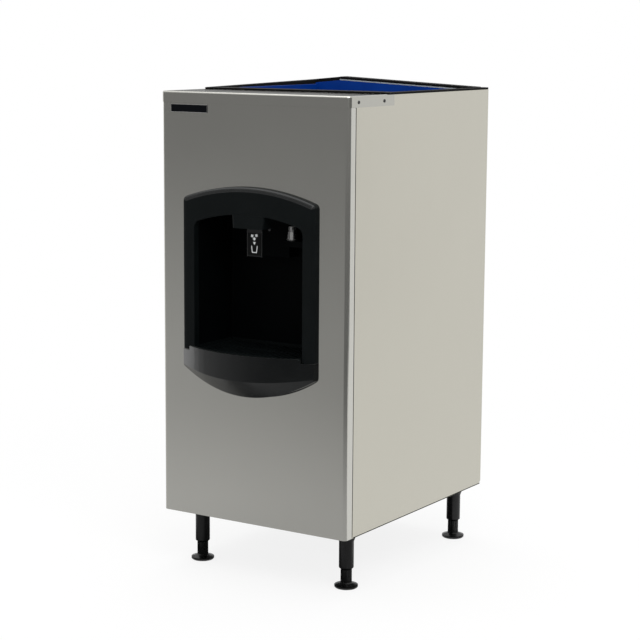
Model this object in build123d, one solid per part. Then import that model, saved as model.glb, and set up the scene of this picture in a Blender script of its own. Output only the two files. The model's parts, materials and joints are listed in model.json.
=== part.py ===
from build123d import *
import math
import os

# Floor-standing ice dispensing bin: an insulated top-fill bin over a push-to-dispense opening.
# Frame: X to the right seen from the front, the front faces -Y, Z up, the floor at Z = 0.
# The origin lies on the floor below the middle of the whole object.

# Cabinet
cabinet_width = 559.0
cabinet_depth = 704.0
cabinet_height = 1085.0
leg_height = 149.0
sheet = 1.2
pan_sheet = 2.0
pan_flange = 25.0
rim_flange = 24.0
overrun = 6.0
fit_gap = 0.3
slide_gap = 0.3
running_gap = 0.05

# Front panel and the steel cover above it
front_return = 30.0
panel_seam = 2.5
corner_radius = 10.0
cover_drop = 26.5
cover_depth = 184.0
cover_side_depth = 207.0
cover_edge_radius = 4.0
rear_corner_cut = 9.0

# Blank name plate
badge_width = 112.5
badge_height = 19.5
badge_thickness = 1.5
badge_left_inset = 30.5
badge_below_rim = 31.0

# Insulated bin
foam_side = 36.0
foam_rear = 36.0
foam_bottom = 40.0
foam_front = 50.0
liner_wall = 4.0
liner_lip = 3.5
liner_lip_width = 8.0
liner_front_flange = 22.0
trough_axis_drop = 522.5
support_sheet = 2.0
support_flange = 30.0

# Sealing strips on the rim and the raised rear edge
strip_width = 22.0
strip_height = 5.5
left_strip_rise = 9.6
rear_strip_width = 14.0
rear_strip_thickness = 7.0
rear_left_height = 15.1
rear_peak_height = 25.9
rear_peak_inset = 113.0
rear_right_height = 5.5
rail_thickness = 3.4
rail_width = 12.0

# Plastic surround of the dispensing opening
surround_half_width = 198.5
surround_side_width = 35.5
surround_top_width = 68.5
surround_rise = 34.5
surround_side_margin = 1.0
surround_low_margin = 3.0
surround_proud = 22.0
surround_bevel_width = 12.5
surround_bevel_depth = 4.0
surround_wall = 3.0
surround_corner_radius = 14.0
panel_overlap = 14.0
shoulder_drop = 11.0
opening_rise = 27.0
opening_corner_radius = 20.0

# Hood over the lever
hood_half_width = 50.0
hood_low_half_width = 45.0
hood_low_proud = 25.0
hood_drop = 34.0
hood_wall = 3.0
hood_reach = 46.0
hood_corner_radius = 9.0

# Recess liner
recess_depth = 145.0
ceiling_rise = 6.0
recess_overlap = 10.0
recess_wall = 3.0
recess_flange = 9.0

# Drip basin
basin_reach = 77.0
basin_end_reach = 22.0
basin_foot_reach = 34.0
basin_foot_end_reach = 20.0
basin_foot_share = 0.5
basin_side_gap = 1.0
basin_band_height = 66.0
basin_crease_rise = 16.0
basin_height = 113.0
basin_end_height = 55.0
basin_wall = 3.5
basin_slope_wall = 5.2
basin_crease_drop = 1.8
basin_lip = 3.0
tub_side_gap = 4.0
tub_back_gap = 7.0
tub_depth = 53.0
tub_wall = 2.5
tub_front_inset = 9.0
tub_rim_width = 8.0
basin_section_shares = (-1, -0.75, -0.5, -0.25, 0, 0.25, 0.5, 0.75, 1)
ledge_below_rim = 12.0
ledge_width = 6.0

# Lift-out grille
grille_thickness = 5.0
slot_width = 6.0
slot_bar = 6.5
slot_length = 70.0
slot_rows = 2
slot_row_gap = 12.0
slot_end_margin = 12.0

# Push lever
lever_width = 46.0
lever_thickness = 3.0
lever_length = 93.0
lever_axis_drop = 19.0
lever_axis_y = 20.0
lever_plate_y = 10.0
lever_barrel_radius = 5.0
lever_pin_radius = 2.0
lever_curl_radius = 4.0
ear_thickness = 2.0
ear_gap = 0.6
ear_width = 16.0
label_width = 39.0
label_height = 56.0
label_thickness = 0.8
label_border = 3.0
spring_wire = 1.2
spring_space = 7.2
spring_turns = 4
spring_pitch = 1.9
spring_leg = 16.0

# Lever switch
switch_width = 12.0
switch_depth = 22.0
switch_height = 16.0
switch_button_radius = 1.8
switch_button_drop = 16.0
switch_button_length = 12.0
switch_button_out = 8.0

# Ice chute and gate
chute_half_width = 41.0
chute_wall = 2.0
chute_proud = 41.0
chute_port_gap = 2.0
chute_neck = 5.0
chute_fall = 44.0
chute_head = 4.0
throat_height = 68.0
throat_below_wheel = 3.0
cup_space = 225.0
chute_screw_side = 19.5
chute_screw_below_top = 48.0
gate_inset = 9.0
gate_axis_drop = 7.0
gate_height = 56.0
gate_thickness = 2.0
gate_side_gap = 2.0
gate_shaft_radius = 2.5
crank_radius = 18.0
crank_start_angle = 35.0
crank_thickness = 3.0
crank_pin_radius = 1.5
crank_eye_radius = 5.0
crank_bar_width = 6.0

# Solenoid that lifts the gate
solenoid_width = 30.0
solenoid_height = 45.0
solenoid_rise = 20.0
solenoid_frame = 3.0
plunger_radius = 4.5
plunger_length = 52.0
tongue_thickness = 4.0
tongue_width = 15.0
tongue_height = 17.0
slot_play = 0.6

# Recess lamp and its shelf
lamp_side_gap = 16.5
lamp_y = 92.0
lamp_base_radius = 16.5
lamp_top_radius = 10.5
lamp_height = 34.5
lamp_wall = 1.5
lamp_cap_height = 9.0
lamp_vents = 8
lamp_vent_width = 2.5
bulb_radius = 8.0
bulb_neck_radius = 5.0
shelf_rise = 32.5
shelf_thickness = 15.0
shelf_depth = 44.0
shelf_hole_radius = 12.0

# Paddle wheel drive
wheel_clearance = 12.3
wheel_width = 56.0
wheel_front_gap = 4.0
wheel_hub_radius = 30.0
wheel_ring_radius = 118.0
wheel_ring_wall = 6.0
paddle_thickness = 6.0
paddle_count = 8
shaft_radius = 9.0
shaft_tail = 190.0
bearing_radius = 19.0
seal_radius = 27.0
seal_thickness = 3.0
collar_radius = 17.0
collar_width = 12.0
agitator_hub_radius = 18.0
agitator_hub_width = 30.0
agitator_rod_radius = 5.0
agitator_arm_radius = 6.0
agitator_gap = 58.3
agitator_bend = 60.0
agitator_arms = 3
gearbox_width = 104.0
gearbox_height = 118.0
gearbox_depth = 56.0
drive_gap = 2.8
gearbox_edge_radius = 8.0
gearbox_wall = 4.0
motor_radius = 27.0
motor_length = 96.0
motor_offset_z = 26.0
motor_rib_count = 9
motor_rib_depth = 2.0
motor_rib_width_share = 0.5
motor_bolt_radius = 3.0
motor_bolt_inset = 11.0
bolt_head_radius = 5.5
bolt_head_height = 4.0

# Control box behind the top of the front panel
box_width = 210.0
box_depth = 110.0
box_height = 118.0
box_sheet = 1.5
box_side_gap = 45.3
box_rise_share = 0.55
lid_lap = 12.0
coil_width = 60.0
coil_depth = 48.0
coil_height = 56.0
core_overhang = 12.0

# Rear services
service_rise_share = 0.472
rocker_spacing = 50.0
rocker_width = 21.0
rocker_height = 27.0
rocker_flange = 3.0
rocker_wall = 1.5
rocker_flange_thickness = 2.0
rocker_body_depth = 18.0
rocker_axis_depth = 4.0
rocker_body_rear = 5.0
rocker_stand = 1.5
rocker_swing = 18.0
gland_inset = 79.5
gland_radius = 11.0
gland_bore_radius = 5.0
gland_flange_radius = 15.0
gland_reach = 16.0
gland_nut = 5.0

# Drain
drain_x = -60.0
drain_pipe_z = 60.0
drain_branch_z = 91.0
drain_pipe_radius = 11.0
drain_pipe_wall = 2.5
drain_reach = 26.0
drain_collar = 4.0
drain_collar_radius = 16.0
drain_fitting_radius = 15.0
drain_spigot = 22.0
drain_socket_radius = 15.5
drain_y_in_bin = 22.0
basin_drain_y = 100.0
basin_drain_radius = 8.0
basin_drain_wall = 2.0
basin_drain_bend = 24.0
basin_drain_low_share = 0.45
basin_drain_cross_share = 0.19

# Levelling legs
leg_side_inset = 55.0
leg_front_inset = 93.5
leg_rear_inset = 52.0
leg_radius = 18.8
leg_flare_radius = 29.0
leg_flare_height = 29.0
leg_bottom_z = 50.0
leg_edge = 2.5
stud_radius = 5.0
stud_length = 16.0
nut_radius = 9.0
nut_height = 8.0
nut_sides = 6
foot_neck_radius = 14.4
foot_radius = 30.0
foot_disc_height = 12.0
foot_edge_height = 7.5
foot_stem_radius = 8.0
foot_stem_length = 45.0
foot_bore_extra = 25.0
flute_count = 12
flute_radius = 1.6
flute_length = 22.0

# Screws
screw_radius = 2.0
screw_head_radius = 4.2
screw_head_height = 1.6
screw_length = 12.0
cover_screw_front = 41.0
cover_screw_spacing = 118.5
cover_screw_drop = 14.0
back_screw_rows = 5
back_screw_edge = 12.0
back_screw_low = 24.0

# Places worked out from the sizes
half_width = cabinet_width / 2
inner_half = half_width - sheet
base_z = leg_height
rim_z = base_z + cabinet_height
front_y = -(cabinet_depth + drain_reach - basin_reach) / 2
rear_y = front_y + cabinet_depth
liner_half = inner_half - foam_side
trough_radius = liner_half - liner_wall
bin_rear_y = rear_y - sheet - foam_rear - liner_wall

# Depths, from the front of the cabinet
recess_back_y = recess_depth + recess_wall
foam_front_y = recess_back_y + drive_gap + bolt_head_height + gearbox_depth + sheet
bin_front_y = foam_front_y + foam_front
tub_back_y = recess_depth - tub_back_gap
chute_front_y = recess_depth - chute_proud
chute_slope_end_y = recess_back_y + chute_port_gap
chute_slope_start_y = foam_front_y - chute_neck
gate_y = foam_front_y - gate_inset
cover_screw_ys = (cover_screw_front, cover_screw_front + cover_screw_spacing)

# Heights, from the bottom of the cabinet: the wheel sets the chute, and the chute the opening
wheel_radius = trough_radius - wheel_clearance
trough_axis_z = cabinet_height - trough_axis_drop
throat_top_z = trough_axis_z + wheel_radius - throat_below_wheel
chute_top_z = throat_top_z + chute_head
chute_sill_z = throat_top_z - throat_height
chute_mouth_z = chute_sill_z - chute_fall
gate_axis_z = throat_top_z - gate_axis_drop
opening_apex = chute_top_z
opening_side_top = opening_apex - opening_rise
recess_ceiling = opening_apex + ceiling_rise
surround_apex = opening_apex + surround_top_width
surround_side_top = surround_apex - surround_rise
hood_bottom_z = opening_apex - hood_drop
lever_axis_z = recess_ceiling - lever_axis_drop
lever_bottom_z = lever_axis_z - lever_length
solenoid_base_z = recess_ceiling + solenoid_rise
shelf_z = chute_mouth_z + shelf_rise
basin_rim_z = chute_mouth_z - cup_space
shoulder_z = basin_rim_z - shoulder_drop
recess_floor = shoulder_z - recess_overlap
basin_crease_z = basin_rim_z - basin_band_height
basin_crease_end_z = basin_crease_z + basin_crease_rise
basin_lowest = basin_rim_z - basin_height
basin_side_bottom = basin_rim_z - basin_end_height
surround_side_bottom = basin_side_bottom - surround_side_margin
surround_lowest = basin_lowest - surround_low_margin
tub_floor_z = basin_rim_z - tub_depth

# Widths, from the middle
opening_half_width = surround_half_width - surround_side_width
basin_half_width = surround_half_width - basin_side_gap
tub_half_width = opening_half_width - tub_side_gap
lamp_x = chute_half_width + lamp_side_gap
agitator_reach = trough_radius - agitator_gap
gland_x = gland_inset - half_width
rocker_x = gland_x + rocker_spacing


def up(height):
    return base_z + height


def back(distance):
    return front_y + distance


wheel_z = up(trough_axis_z)
wheel_front = back(bin_front_y) + wheel_front_gap
wheel_rear = wheel_front + wheel_width
shaft_end = wheel_rear + shaft_tail
drain_y = back(bin_front_y) + drain_y_in_bin
foam_low_z = wheel_z - liner_half - foam_bottom
rocker_z = service_rise_share * (foam_low_z - base_z)
gland_z = rocker_z


def block(x0, x1, y0, y1, z0, z1):
    return Pos((x0 + x1) / 2, (y0 + y1) / 2, (z0 + z1) / 2) * Box(x1 - x0, y1 - y0, z1 - z0)


def rod_x(x0, x1, y, z, radius):
    return Pos((x0 + x1) / 2, y, z) * Rot(0, 90, 0) * Cylinder(radius, x1 - x0)


def rod_y(x, y0, y1, z, radius):
    return Pos(x, (y0 + y1) / 2, z) * Rot(90, 0, 0) * Cylinder(radius, y1 - y0)


def rod_z(x, y, z0, z1, radius):
    return Pos(x, y, (z0 + z1) / 2) * Cylinder(radius, z1 - z0)


def closed_face(points):
    return make_face(Polyline(*points, close=True))


def along_x(points, x0, x1):
    plane = Plane(origin=(x0, 0, 0), x_dir=(0, 1, 0), z_dir=(1, 0, 0))
    return extrude(plane * closed_face(points), amount=x1 - x0, dir=(1, 0, 0))


def along_y(points, y0, y1):
    plane = Plane(origin=(0, y0, 0), x_dir=(1, 0, 0), z_dir=(0, -1, 0))
    return extrude(plane * closed_face(points), amount=y1 - y0, dir=(0, 1, 0))


def face_along_y(face, y0, y1):
    plane = Plane(origin=(0, y0, 0), x_dir=(1, 0, 0), z_dir=(0, -1, 0))
    return extrude(plane * face, amount=y1 - y0, dir=(0, 1, 0))


def spun(points, x, y):
    profile = Plane.XZ * closed_face(points)
    return Pos(x, y, 0) * revolve(profile, axis=Axis.Z)


def group(pieces):
    return Compound(children=[piece.solid() if len(piece.solids()) == 1 else piece for piece in pieces])


def mirrored(piece):
    return mirror(piece, about=Plane.YZ)


# Cabinet

def side_panel_right():
    seam_y = back(front_return + panel_seam)
    skin = block(inner_half, half_width, seam_y, rear_y, base_z, rim_z)
    top = block(half_width - rim_flange, half_width, seam_y, rear_y, rim_z - sheet, rim_z)
    bottom = block(half_width - rim_flange, half_width, seam_y, rear_y, base_z, base_z + sheet)
    cut = rear_corner_cut
    corner = [(rear_y - cut, base_z), (rear_y, base_z + cut), (rear_y + cut, base_z),
              (rear_y, base_z - cut)]
    panel = skin + top + bottom - along_x(corner, half_width - rim_flange - overrun, half_width + overrun)
    screw_z = rim_z - cover_screw_drop
    for y in cover_screw_ys:
        panel -= rod_x(inner_half - overrun, half_width + overrun, back(y), screw_z, screw_radius)
    return panel


def back_screw_places():
    low = base_z + back_screw_low
    step = (cabinet_height - 2 * back_screw_low) / (back_screw_rows - 1)
    xs = (-inner_half + back_screw_edge, inner_half - back_screw_edge)
    return [(x, low + row * step) for x in xs for row in range(back_screw_rows)]


def back_panel():
    y0 = rear_y - sheet
    panel = block(-inner_half, inner_half, y0, rear_y, base_z + rear_corner_cut, rim_z - sheet)
    inner_lip = half_width - rim_flange
    panel += block(-inner_lip, inner_lip, bin_rear_y + liner_wall, rear_y, rim_z - sheet, rim_z)
    panel -= rod_y(drain_x, y0 - overrun, rear_y + overrun, up(drain_pipe_z), drain_pipe_radius + fit_gap)
    panel -= rod_y(gland_x, y0 - overrun, rear_y + overrun, up(gland_z), gland_radius + fit_gap)
    half_w = rocker_width / 2 + fit_gap
    half_h = rocker_height / 2 + fit_gap
    panel -= block(rocker_x - half_w, rocker_x + half_w, y0 - overrun, rear_y + overrun,
                   up(rocker_z) - half_h, up(rocker_z) + half_h)
    for x, z in back_screw_places():
        panel -= rod_y(x, y0 - overrun, rear_y + overrun, z, screw_radius)
    return panel


def leg_places():
    x = half_width - leg_side_inset
    return {"front_left": (-x, back(leg_front_inset)), "front_right": (x, back(leg_front_inset)),
            "rear_left": (-x, rear_y - leg_rear_inset), "rear_right": (x, rear_y - leg_rear_inset)}


def base_pan():
    x = half_width - rim_flange
    y0 = front_y + sheet
    y1 = rear_y - sheet
    thickness = sheet + pan_sheet
    pan = block(-x, x, y0, y1 - rear_corner_cut, base_z, base_z + pan_sheet)
    pan += plan_shell(inner_half, y0, y1 - rear_corner_cut, corner_radius - sheet, base_z + sheet,
                      base_z + thickness)
    pan += block(-x, x, y0, y0 + pan_sheet, base_z, base_z + pan_flange)
    pan += block(-x, x, y1 - pan_sheet, y1, base_z + rear_corner_cut, base_z + pan_flange)
    ramp = [(y1 - rear_corner_cut, base_z), (y1, base_z + rear_corner_cut),
            (y1, base_z + rear_corner_cut + thickness), (y1 - rear_corner_cut, base_z + thickness)]
    pan += along_x(ramp, -x, x)
    for x, y in leg_places().values():
        pan -= rod_z(x, y, base_z - overrun, base_z + pan_flange, stud_radius + fit_gap)
    return pan


def plan_shell(half, y0, y1, radius, z0, z1):
    solid = block(-half, half, y0, y1, z0, z1)
    edges = solid.edges().filter_by(Axis.Z).group_by(Axis.Y)[0]
    return fillet(edges, radius)


def front_panel():
    y1 = back(front_return)
    top = rim_z - cover_drop
    panel = plan_shell(half_width, front_y, y1, corner_radius, base_z, top)
    hollow = plan_shell(inner_half, front_y + sheet, y1 + overrun, corner_radius - sheet,
                        base_z - overrun, top + overrun)
    panel -= hollow
    panel -= face_along_y(surround_face(panel_overlap), front_y - overrun, front_y + sheet + overrun)
    return panel


def top_cover():
    half = half_width + sheet
    y0 = front_y - sheet
    z0 = rim_z - cover_drop
    z1 = rim_z + sheet
    y1 = back(cover_side_depth)
    shell = plan_shell(half, y0, y1, corner_radius + sheet, z0, z1)
    top_edges = shell.faces().sort_by(Axis.Z)[-1].edges()
    top_edges = [edge for edge in top_edges if edge.center().Y < y1 - sheet]
    shell = fillet(top_edges, cover_edge_radius)
    hollow = plan_shell(half_width, front_y, y1 + overrun, corner_radius, z0 - overrun, rim_z)
    shell -= hollow
    shell -= block(-half_width, half_width, back(cover_depth), y1 + overrun, rim_z - overrun, z1 + overrun)
    for side in (-1, 1):
        for y in cover_screw_ys:
            ends = sorted((side * (half_width - overrun), side * (half + overrun)))
            shell -= rod_x(ends[0], ends[1], back(y), rim_z - cover_screw_drop, screw_radius)
    return shell


def badge_plate():
    x0 = -half_width + badge_left_inset
    z1 = rim_z - badge_below_rim
    plate = block(x0, x0 + badge_width, front_y - badge_thickness, front_y, z1 - badge_height, z1)
    return fillet(plate.edges().filter_by(Axis.Y), badge_thickness)


# Insulated bin

def trough_face(half, top_z):
    radius = half
    arc = ThreePointArc((-half, wheel_z), (0, wheel_z - radius), (half, wheel_z))
    sides = [Line((half, wheel_z), (half, top_z)), Line((half, top_z), (-half, top_z)),
             Line((-half, top_z), (-half, wheel_z))]
    return make_face([arc] + sides)


def chute_throat_tool(gap, y0, y1):
    half = chute_half_width + gap
    return block(-half, half, y0, y1, up(chute_sill_z) - gap, up(throat_top_z) + gap)


def insulation():
    top = rim_z - sheet
    foam = block(-inner_half, inner_half, back(foam_front_y), rear_y - sheet, foam_low_z, top)
    liner_front = back(bin_front_y) - liner_wall
    liner_rear = bin_rear_y + liner_wall
    foam -= face_along_y(trough_face(liner_half, top + overrun), liner_front, liner_rear)
    foam -= chute_throat_tool(fit_gap, back(foam_front_y) - overrun, liner_front + overrun)
    foam -= rod_y(0, back(foam_front_y) - overrun, liner_front + overrun, wheel_z, bearing_radius + fit_gap)
    foam -= rod_z(drain_x, drain_y, foam_low_z - overrun, wheel_z, drain_fitting_radius + fit_gap)
    flange_half = half_width - rim_flange
    ledge_y = back(bin_front_y) - liner_front_flange
    foam -= block(-flange_half, flange_half, ledge_y, liner_rear, top - liner_wall, top + overrun)
    return foam


def bin_liner():
    top = rim_z - sheet
    y0 = back(bin_front_y)
    outer_front = y0 - liner_wall
    outer_rear = bin_rear_y + liner_wall
    shell = face_along_y(trough_face(liner_half, top), outer_front, outer_rear)
    flange_half = half_width - rim_flange
    shell += block(-flange_half, flange_half, outer_front, outer_rear, top - liner_wall, top)
    ledge_y = y0 - liner_front_flange
    shell += block(-flange_half, flange_half, ledge_y, outer_front, top - liner_wall, rim_z)
    lip_half = trough_radius + liner_lip_width
    shell += block(-lip_half, lip_half, outer_front, bin_rear_y, top, rim_z + liner_lip)
    shell += block(-lip_half, lip_half, bin_rear_y, outer_rear, top, rim_z)
    shell += liner_wedge()
    shell -= face_along_y(trough_face(trough_radius, rim_z + rear_peak_height), y0, bin_rear_y)
    shell -= chute_throat_tool(fit_gap, outer_front - overrun, y0 + overrun)
    shell -= rod_y(0, outer_front - overrun, y0 + overrun, wheel_z, bearing_radius + fit_gap)
    low = wheel_z - liner_half
    shell -= rod_z(drain_x, drain_y, low - overrun, wheel_z, drain_fitting_radius + fit_gap)
    return shell


def bulkhead():
    y1 = back(foam_front_y)
    y0 = y1 - sheet
    wall = block(-inner_half, inner_half, y0, y1, base_z + sheet + pan_sheet, rim_z - sheet)
    fold_half = half_width - rim_flange
    fold_y = back(bin_front_y) - liner_front_flange
    wall += block(-fold_half, fold_half, y0, fold_y, rim_z - sheet, rim_z)
    wall -= chute_throat_tool(fit_gap, y0 - overrun, y1 + overrun)
    wall -= rod_y(0, y0 - overrun, y1 + overrun, wheel_z, bearing_radius + fit_gap)
    wall -= rod_y(drain_x, y0 - overrun, y1 + overrun, up(drain_pipe_z), drain_pipe_radius + fit_gap)
    for x, z in motor_bolt_places():
        wall -= rod_y(x, y0 - overrun, y1 + overrun, z, motor_bolt_radius)
    return wall


def bin_supports():
    x1 = inner_half
    x0 = x1 - support_sheet
    y0 = back(foam_front_y)
    y1 = rear_y - sheet - pan_sheet
    z0 = base_z + sheet + pan_sheet
    rail = block(x0, x1, y0, y1, z0, foam_low_z)
    rail += block(x1 - support_flange, x1, y0, y1, foam_low_z - support_sheet, foam_low_z)
    rail += block(x1 - support_flange, x1, y0, y1 - rear_corner_cut, z0, z0 + support_sheet)
    rail -= rod_z(half_width - leg_side_inset, rear_y - leg_rear_inset, z0 - overrun, z0 + pan_flange,
                  nut_radius + overrun)
    return group([rail, mirrored(rail)])


# Rim

def rear_line(x, drop):
    peak_x = -half_width + rear_peak_inset
    if x < peak_x:
        share = (x + half_width) / rear_peak_inset
        return rim_z + rear_left_height + share * (rear_peak_height - rear_left_height) - drop
    share = (x - peak_x) / (half_width - peak_x)
    return rim_z + rear_peak_height + share * (rear_right_height - rear_peak_height) - drop


def rear_end_x(drop):
    peak_x = -half_width + rear_peak_inset
    share = (rear_peak_height - drop) / (rear_peak_height - rear_right_height)
    return peak_x + share * (half_width - peak_x)


def liner_wedge():
    left = -trough_radius - liner_lip_width
    peak_x = -half_width + rear_peak_inset
    drop = rail_thickness + rear_strip_thickness
    points = [(left, rim_z), (left, rear_line(left, drop)), (peak_x, rear_line(peak_x, drop)),
              (rear_end_x(drop), rim_z)]
    return along_y(points, bin_rear_y, bin_rear_y + rail_width)


def rear_rim_rail():
    peak_x = -half_width + rear_peak_inset
    high = rear_strip_thickness
    low = high + rail_thickness
    points = [(peak_x, rear_line(peak_x, low)), (peak_x, rear_line(peak_x, high)),
              (rear_end_x(high), rim_z), (rear_end_x(low), rim_z)]
    return along_y(points, bin_rear_y, bin_rear_y + rail_width)


def rear_strip():
    left = -half_width
    peak_x = -half_width + rear_peak_inset
    right = half_width - strip_width - fit_gap
    cap = rear_strip_thickness
    foot = [(left, rim_z), (left, rear_line(left, 0)), (peak_x, rear_line(peak_x, 0)),
            (right, rear_line(right, 0)), (right, rim_z)]
    strip = along_y(foot, rear_y - rear_strip_width, rear_y)
    over = [(peak_x, rear_line(peak_x, cap)), (peak_x, rear_line(peak_x, 0)), (right, rear_line(right, 0)),
            (right, rim_z), (rear_end_x(cap), rim_z)]
    strip += along_y(over, bin_rear_y, rear_y - rear_strip_width)
    return strip


def rim_gasket():
    y0 = back(cover_depth) + fit_gap
    y1 = back(bin_front_y) - liner_front_flange - fit_gap
    front = block(-half_width, half_width, y0, y1, rim_z, rim_z + strip_height)
    side_y1 = rear_y - rear_strip_width
    right = block(half_width - strip_width, half_width, y0, rear_y, rim_z, rim_z + strip_height)
    rise = [(y0, rim_z), (side_y1, rim_z), (side_y1, rim_z + strip_height + left_strip_rise),
            (y0, rim_z + strip_height)]
    left = along_x(rise, -half_width, -half_width + strip_width)
    front = front - left - right
    return group([front, right, left, rear_strip()])


# Dispensing opening

def bow(half, side_z, apex_z):
    return ThreePointArc((-half, side_z), (0, apex_z), (half, side_z))


def surround_face(inset):
    half = surround_half_width - inset
    top_side = up(surround_side_top) - inset
    low_side = up(surround_side_bottom) + inset / 2
    edges = [bow(half, top_side, up(surround_apex) - inset), Line((half, top_side), (half, low_side)),
             bow(half, low_side, up(surround_lowest) + inset), Line((-half, low_side), (-half, top_side))]
    face = make_face(edges)
    return fillet(face.vertices(), surround_corner_radius)


def opening_face(extra):
    half = opening_half_width + extra
    side = up(opening_side_top) + extra
    low = up(basin_crease_z)
    edges = [bow(half, side, up(opening_apex) + extra), Line((half, side), (half, low)),
             Line((half, low), (-half, low)), Line((-half, low), (-half, side))]
    face = make_face(edges)
    corners = face.vertices().group_by(Axis.Y)[-1]
    return fillet(corners, opening_corner_radius)


def bezel():
    y0 = front_y - surround_proud
    body = face_along_y(surround_face(0), y0, front_y)
    face = body.faces().sort_by(Axis.Y)[0]
    body = chamfer(face.edges(), surround_bevel_width, surround_bevel_depth, reference=face)
    body -= face_along_y(surround_face(surround_bevel_width), y0 + surround_wall, front_y + overrun)
    ring = face_along_y(opening_face(surround_wall), y0, front_y - recess_wall)
    ring -= face_along_y(opening_face(0), y0 - overrun, front_y + overrun)
    body += ring
    body -= face_along_y(opening_face(0), y0 - overrun, front_y + overrun)
    wide = surround_half_width + overrun
    low = up(surround_lowest) - overrun
    body -= block(-wide, wide, y0 - overrun, front_y + overrun, low, up(shoulder_z))
    return body


def hood_form(inset, extra):
    levels = [(up(hood_bottom_z), hood_low_half_width, hood_low_proud),
              (up(opening_apex) + overrun, hood_half_width, surround_proud)]
    y1 = front_y - surround_proud + hood_reach + extra
    faces = []
    for z, half, proud in levels:
        y0 = front_y - proud + inset
        face = Pos(0, (y0 + y1) / 2, z) * Rectangle(2 * (half - inset), y1 - y0)
        faces.append(fillet(face.vertices().group_by(Axis.Y)[0], hood_corner_radius - inset))
    return loft(faces, ruled=True)


def chute_hood():
    shell = hood_form(0, 0) - hood_form(hood_wall, overrun)
    y0 = front_y - hood_low_proud - overrun
    shell &= face_along_y(opening_face(0), y0, front_y + hood_reach)
    return shell


def recess_liner():
    half = opening_half_width + recess_wall
    y1 = back(recess_depth)
    top = up(recess_ceiling)
    low = up(recess_floor)
    outer = block(-half, half, front_y, y1 + recess_wall, low, top + recess_wall)
    rim = half + recess_flange
    outer += block(-rim, rim, front_y - recess_wall, front_y, up(shoulder_z) + fit_gap,
                   top + recess_wall + recess_flange)
    outer -= block(-opening_half_width, opening_half_width, front_y - overrun, y1, low - overrun, top)
    port = chute_half_width + fit_gap
    outer -= block(-port, port, y1 - overrun, y1 + recess_wall + overrun, up(chute_mouth_z),
                   up(chute_top_z) + fit_gap)
    keep = face_along_y(surround_face(surround_bevel_width + fit_gap), front_y - overrun, front_y)
    keep += block(-half, half, front_y, y1 + overrun, base_z, rim_z)
    return outer & keep


def basin_section(x, half, inset, crease, crease_end, lowest, side_low, top):
    share = (x / half) ** 2
    y_front = front_y + inset - basin_reach + (basin_reach - basin_end_reach) * share
    y_foot = front_y + inset * basin_foot_share - basin_foot_reach
    y_foot += (basin_foot_reach - basin_foot_end_reach) * share
    z_crease = up(crease + (crease_end - crease) * share)
    z_low = up(lowest + (side_low - lowest) * share)
    points = [(x, front_y + overrun, z_low), (x, y_foot, z_low), (x, y_front, z_crease), (x, y_front, top),
              (x, front_y + overrun, top)]
    return make_face(Polyline(*points, close=True))


def basin_form(inset, crease_lift, low_lift, top):
    half = basin_half_width - inset
    faces = []
    for share in basin_section_shares:
        faces.append(basin_section(half * share, half, inset, basin_crease_z + crease_lift,
                                   basin_crease_end_z + crease_lift, basin_lowest + low_lift,
                                   basin_side_bottom + inset, top))
    return loft(faces, ruled=False)


def basin_front():
    top = up(basin_rim_z)
    outer = basin_form(0, 0, 0, top)
    shell = outer
    shell &= block(-half_width, half_width, front_y - basin_reach - overrun, front_y, base_z, top)
    shell -= basin_form(basin_wall, basin_crease_drop, basin_slope_wall, top + overrun)
    lip = face_along_y(surround_face(0), front_y - basin_lip, front_y)
    lip -= face_along_y(surround_face(panel_overlap), front_y - basin_lip - overrun, front_y + overrun)
    lip &= block(-half_width, half_width, front_y - basin_lip, front_y, base_z, up(shoulder_z))
    shell += lip
    shoulder_x = tub_half_width + tub_rim_width + fit_gap
    shoulder = up(shoulder_z)
    y0 = front_y - basin_reach
    for side in (-1, 1):
        ends = sorted((side * shoulder_x, side * half_width))
        shell -= block(ends[0], ends[1], y0, front_y + overrun, shoulder, top + overrun)
        cap = block(ends[0], ends[1], y0, front_y, shoulder - basin_wall, shoulder)
        shell += cap & outer
    return shell


def tub_outline(inset, z0, z1):
    half = tub_half_width - inset
    y_back = back(tub_back_y) - inset
    bulge = basin_reach - tub_front_inset - inset
    end_share = (tub_half_width / basin_half_width) ** 2
    y_end = front_y - bulge + (basin_reach - basin_end_reach) * end_share
    arc = ThreePointArc((-half, y_end), (0, front_y - bulge), (half, y_end))
    sides = [Line((half, y_end), (half, y_back)), Line((half, y_back), (-half, y_back)),
             Line((-half, y_back), (-half, y_end))]
    return extrude(Pos(0, 0, z0) * make_face([arc] + sides), amount=z1 - z0, dir=(0, 0, 1))


def drip_basin():
    top = up(basin_rim_z)
    ledge = top - ledge_below_rim
    floor = up(tub_floor_z)
    tub = tub_outline(0, floor - tub_wall, top)
    tub -= tub_outline(tub_wall, ledge, top + overrun)
    tub -= tub_outline(tub_wall + ledge_width, floor, ledge + overrun)
    bore = basin_drain_radius - basin_drain_wall
    tub -= rod_z(0, back(basin_drain_y), floor - overrun, floor + overrun, bore)
    return tub


def drip_grille():
    z0 = up(basin_rim_z) - ledge_below_rim
    plate = tub_outline(tub_wall + slide_gap, z0, z0 + grille_thickness)
    pitch = slot_width + slot_bar
    count = int((2 * tub_half_width - 2 * slot_end_margin) / pitch)
    y_mid = back(tub_back_y) - tub_half_width / 2
    cutters = []
    for row in range(slot_rows):
        y_row = y_mid + (row - (slot_rows - 1) / 2) * (slot_length + slot_row_gap)
        for index in range(count):
            x = (index - (count - 1) / 2) * pitch
            cutters.append(block(x - slot_width / 2, x + slot_width / 2, y_row - slot_length / 2,
                                 y_row + slot_length / 2, z0 - overrun, z0 + grille_thickness + overrun))
    return plate - cutters


# Push lever

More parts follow.
